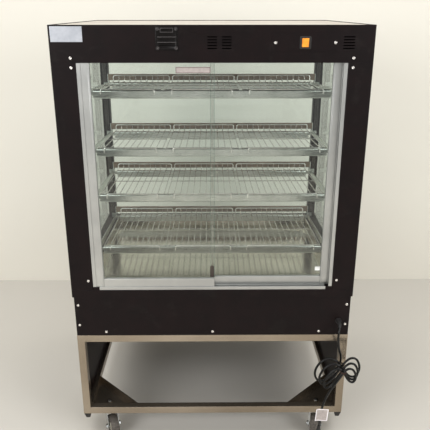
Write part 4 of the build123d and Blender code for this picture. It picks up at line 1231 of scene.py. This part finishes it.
@dataclass
class Fixings:
    """Cross-recessed pan-head screws on the outside, and the hexagon nuts of the castor stems."""

    radius: float = 4.6 * MM
    height: float = 2.4 * MM
    taper: float = 0.86
    recess: Triple = (1.1 * MM, 2.6 * MM, 4.4 * MM)
    turn_step: int = 37
    nut_z: float = 110.5 * MM
    nut_height: float = 6 * MM
    nut_radius: float = 8.9 * MM
    nut_bore: float = 5.3 * MM
    pairs: Steps = ((393, 1297), (393, 1271), (393, 615), (433, 455), (433, 527))
    singles: Steps = ((-348, 429), (0, 429), (348, 429), (174.5, 1338), (339.5, 1338))

    def screw(self) -> Thing:
        """Models one head on the origin, facing -Y."""
        made = drum("screw", (0, -self.height / 2, 0), self.radius, self.height, (90, 0, 0), 28)
        select_facing(made, TO_SERVICE)
        bpy.ops.transform.resize(value=(self.taper, 1, self.taper), center_override=(0.0, -self.height, 0.0))
        leave_edit()
        for size in (self.recess, self.recess[::-1]):
            hollow(made, box("recess", (0, -self.height, 0), size))
        round_edges(made, 0.35 * MM)
        return made

    def nut(self) -> Thing:
        """Models one nut over the origin."""
        middle = self.nut_z + self.nut_height / 2
        made = drum("nut", (0, 0, middle), self.nut_radius, self.nut_height, (0, 0, 30), 6)
        hollow(made, drum("bore", (0, 0, self.nut_z), self.nut_bore, 4 * self.nut_height))
        round_edges(made, 0.6 * MM)
        return made

    def build(self) -> None:
        """Copies the screws and nuts to where the CAD piece has them."""
        corners = [vertex.co for vertex in bpy.data.objects["screws_and_bolts"].data.vertices]
        screw, nut = self.screw(), self.nut()
        made = []
        places = [(side * x, z) for x, z in self.pairs for side in (-1, 1)] + list(self.singles)
        for number, (x, z) in enumerate(places):
            near = [c.y for c in corners if math.hypot(c.x - x * MM, c.z - z * MM) < 1.3 * self.radius]
            place = stand((x * MM, max(near), z * MM), (0, self.turn_step * number % 90, 0))
            made.append(copied(screw, "screw", place))
        for x in (-1, 1):
            for y in (-1, 1):
                made.append(copied(nut, "nut", stand((x * CASTOR_SPOT[0], y * CASTOR_SPOT[1], 0))))
        for pattern in (screw, nut):
            bpy.data.objects.remove(pattern)
        fit(joined("screws_and_nuts", made), NICKEL_SCREW, "castor_steel", "case", "screws_and_bolts")


@dataclass
class FanGuard:
    """The moulded guard on the header: a flush plate, and proud lines painted pale grey as highlights.

    The lines are four ring lugs, an open frame like a handle at the top, and two thin ribs.
    """

    centre: tuple[float, float] = (-125 * MM, 1349 * MM)
    size: float = 62 * MM
    thick: float = 1.6 * MM
    border: float = 5 * MM
    slot_height: float = 2.2 * MM
    lug: float = 4.5 * MM
    lug_height: float = 2.6 * MM
    head: tuple[float, float] = (2.1 * MM, 1.2 * MM)
    rib_radius: float = 0.8 * MM
    ribs: tuple[float, ...] = (4 * MM, -10 * MM)
    slots: tuple[float, ...] = (-4 * MM, -14 * MM, -18.5 * MM)
    frame_size: tuple[float, float] = (36 * MM, 12 * MM)
    frame_rise: float = 22 * MM
    frame_bar: float = 1.5 * MM

    def spot(self, x: float, out: float, z: float) -> Triple:
        """Finds a place on the guard.

        Args:
            x: Its offset across from the guard's middle.
            out: How far it is off the header.
            z: Its offset up from the guard's middle.

        Returns:
            The place.
        """
        return self.centre[0] + x, SERVICE_Y - out, self.centre[1] + z

    def ring(self, x: float, z: float) -> Thing:
        """Models one lug with its hollow and a pan head inside.

        Args:
            x: Its place across, from the guard's middle.
            z: Its height over the guard's middle.

        Returns:
            The lug.
        """
        lug = drum("lug", self.spot(x, self.lug_height / 2, z), self.lug, self.lug_height, (90, 0, 0), 28)
        step_in(lug, TO_SERVICE, (1.2 * MM, 0), (0.1 * MM, -1.6 * MM))
        head = drum("head", self.spot(x, 1.5 * MM, z), *self.head, (90, 0, 0), 20)
        hollow(head, box("recess", self.spot(x, 2.1 * MM, z), (0.7 * MM, 0.9 * MM, 3.0 * MM)))
        return joined("lug", [lug, head])

    def build(self) -> None:
        """Models the plate and its proud lines."""
        plate = box("guard_plate", self.spot(0, self.thick / 2, 0), (self.size, self.thick, self.size))
        step_in(plate, TO_SERVICE, (self.border, 0), (0.3 * MM, -0.8 * MM))
        for rise in self.slots:
            slot = (self.size - 4 * self.border, 2 * self.thick, self.slot_height)
            hollow(plate, box("slot", self.spot(0, self.thick, rise), slot))
        round_edges(plate, 0.3 * MM)
        fit(plate, GUARD_MOULDING, "black_plastic", "case", "fan_guard")
        wide, tall = self.frame_size
        middle = self.spot(0, 1.5 * MM, self.frame_rise)
        frame = box("guard_frame", middle, (wide, 1.8 * MM, tall))
        hollow(frame, box("inside", middle, (wide - 2 * self.frame_bar, 4 * MM, tall - 2 * self.frame_bar)))
        lines = [frame]
        for rise in self.ribs:
            long = self.size - 2 * self.border
            lines.append(drum("rib", self.spot(0, 1.0 * MM, rise), self.rib_radius, long, (0, 90, 0), 16))
        reach = self.size / 2 - self.lug - 1 * MM
        lines += [self.ring(x * reach, z * reach) for x in (-1, 1) for z in (-1, 1)]
        proud = joined("guard_lines", lines)
        round_edges(proud, 0.35 * MM)
        # The proud lines take the pale grey painted highlight
        fit(proud, GUARD_PAINTED_HIGHLIGHT, "black_plastic", "case")


@dataclass
class DoorTrim:
    """What is too thin for the CAD doors: glazing beads, polished glass edges, and a white clip."""

    bead_width: float = 1.8 * MM
    bead_depth: float = 0.9 * MM
    edge_width: float = 0.9 * MM
    edge_stand: float = 0.05 * MM
    clip_size: Triple = (17 * MM, 1.7 * MM, 13 * MM)
    clip_place: tuple[float, float] = (335 * MM, 645 * MM)

    def edges(self, side: str, inner: int) -> None:
        """Adds one door's beads and the edge of its glass.

        Args:
            side: Which door.
            inner: Which way along X the door's free edge looks.
        """
        stile, rail, glass = (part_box(f"{side}_door_{part}") for part in ("stile", "bottom_rail", "glass"))
        inside = 1 if inner > 0 else 0
        stile_x, free_x = stile[inside][0], glass[inside][0]
        base, face, back = rail[1][2], glass[0][1], glass[1][1]
        strips = {
            "stile_bead": (
                (stile_x, face - self.bead_depth, base),
                (stile_x + inner * self.bead_width, face, stile[1][2] - 3 * MM),
            ),
            "rail_bead": (
                (rail[0][0] + 1 * MM, face - self.bead_depth, base),
                (rail[1][0] - 1 * MM, face, base + self.bead_width),
            ),
            "glass_edge": (
                (free_x, face - self.edge_stand, base + 2 * MM),
                (free_x - inner * self.edge_width, back + self.edge_stand, glass[1][2]),
            ),
        }
        for name, (one, other) in strips.items():
            span = Vector(other) - Vector(one)
            made = box(f"{side}_{name}", Vector(one) + span / 2, [abs(length) for length in span])
            round_edges(made, 0.3 * MM)
            clear = name == "glass_edge"
            finish = GLASS_EDGE if clear else GLAZING_BEAD
            fit(made, finish, "clear_glass" if clear else "black_plastic", f"{side}_door")

    def build(self) -> None:
        """Adds the beads, the glass edges and the clip."""
        for side, inner in (("left", 1), ("right", -1)):
            self.edges(side, inner)
        low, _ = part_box("right_door_glass")
        x, z = self.clip_place
        clip = box("stile_clip", (x, low[1] - 0.95 * MM, z), self.clip_size)
        step_in(clip, TO_SERVICE, (2.2 * MM, 0), (0.4 * MM, -0.8 * MM))
        round_edges(clip, 0.4 * MM)
        fit(clip, WHITE_CLIP, "diffuser", "right_door")


@dataclass
class Labels:
    """Bare plates that carry nothing: the rating plate on the header and a label on the door glass."""

    thick: float = 0.5 * MM
    rating_place: tuple[float, float] = (-400 * MM, 1360.5 * MM)
    rating_size: tuple[float, float] = (88 * MM, 41 * MM)
    glass_place: tuple[float, float] = (-54 * MM, 1263.5 * MM)
    glass_size: tuple[float, float] = (98 * MM, 17 * MM)

    def plate(self, name: str, centre: Triple, size: tuple[float, float], rim: float, *inks: Look) -> Thing:
        """Models a thin plate that faces the service side, with a border round a printed field.

        Args:
            name: The piece's name.
            centre: The middle of its back face.
            size: Its width and height.
            rim: How wide its border is.
            inks: The surfaces of the border and of the field inside it.

        Returns:
            The plate as a mesh.
        """
        x, y, z = centre
        made = box(name, (x, y - self.thick / 2, z), (size[0], self.thick, size[1]))
        print_on(made, rim, inks)
        round_edges(made, 0.18 * MM)
        return made

    def build(self) -> None:
        """Adds the plates."""
        x, z = self.rating_place
        plain = (METALLISED_LABEL, METALLISED_LABEL)
        rating = self.plate("rating_plate", (x, SERVICE_Y, z), self.rating_size, 1.6 * MM, *plain)
        fit(rating, None, "tag_card", "case")
        (x, z), face = self.glass_place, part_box("left_door_glass")[0][1]
        label = self.plate("glass_label", (x, face, z), self.glass_size, 2.2 * MM, BORDER_INK, LABEL_INK)
        fit(label, None, "tag_card", "left_door")


@dataclass
class Studio:
    """The floor, the backdrop, soft lamps and the photograph's camera."""

    eye: Triple = (-0.006, -2.027, 1.424)
    down: float = 19.57
    right: float = 0.47
    lens: float = 48.39

    def camera(self) -> None:
        """Stands the camera where the photograph was taken from."""
        data = bpy.data.cameras.new("camera")
        data.sensor_width = 36.0
        data.lens = self.lens
        made = placed("camera", data)
        made.location = self.eye
        made.rotation_euler = angles((90 - self.down, 0, -self.right))
        bpy.context.scene.camera = made

    def sheet(self, name: str, place: Triple, turn: float, size: tuple[float, float], colour: str) -> None:
        """Lays one plain pale sheet of the stage.

        Args:
            name: Its name.
            place: Its middle.
            turn: How far it is tipped up, in degrees.
            size: Its width and depth.
            colour: Its colour.
        """
        deselect()
        bpy.ops.mesh.primitive_plane_add(size=1, location=place, rotation=angles((turn, 0, 0)))
        made = bpy.context.active_object
        made.name = name
        made.scale = (*size, 1)
        settle(made)
        dress(made, StagePaint(f"pale_{name}", colour))

    def lamps(self) -> None:
        """Hangs a wide soft lamp overhead and two weaker ones in front, in a pale room."""
        for name, place, turn, size, power in (
            ("overhead", (0.0, -0.7, 3.6), (10, 0, 0), 3.0, 61.0),
            ("front_left", (-2.4, -3.0, 2.0), (68, 0, -40), 1.8, 60.0),
            ("front_right", (2.6, -2.6, 1.8), (70, 0, 46), 1.6, 43.0),
        ):
            data = bpy.data.lights.new(name, "AREA")
            data.size = size
            data.energy = power
            made = placed(name, data)
            made.location = place
            made.rotation_euler = angles(turn)
        world = bpy.data.worlds.new("studio")
        bpy.context.scene.world = world
        world.use_nodes = True
        back = world.node_tree.nodes["Background"]
        back.inputs["Color"].default_value = linear("#e6e6e2")
        back.inputs["Strength"].default_value = 0.7

    def build(self) -> None:
        """Sets the camera, the stage and the light."""
        self.camera()
        self.sheet("floor", (0, 0, 0), 0, (9, 9), "#cfcbc4")
        self.sheet("wall", (0, 0.9, 2.5), 90, (9, 5), "#ece8de")
        self.lamps()
        bpy.context.scene.view_settings.view_transform = "Standard"


def main() -> None:
    """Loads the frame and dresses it."""
    logging.basicConfig(level=logging.INFO, format="%(message)s")
    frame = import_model()
    groups = [Studio(), MainsCord(), SheetMetal(frame["nodes"]), WireRacks(), Castors(), Fixings(), FanGuard()]
    for group in (*groups, DoorTrim(), Labels()):
        group.build()
        LOG.info("%s: %d objects in the scene", type(group).__name__, len(bpy.data.objects))


if __name__ == "__main__":
    main()
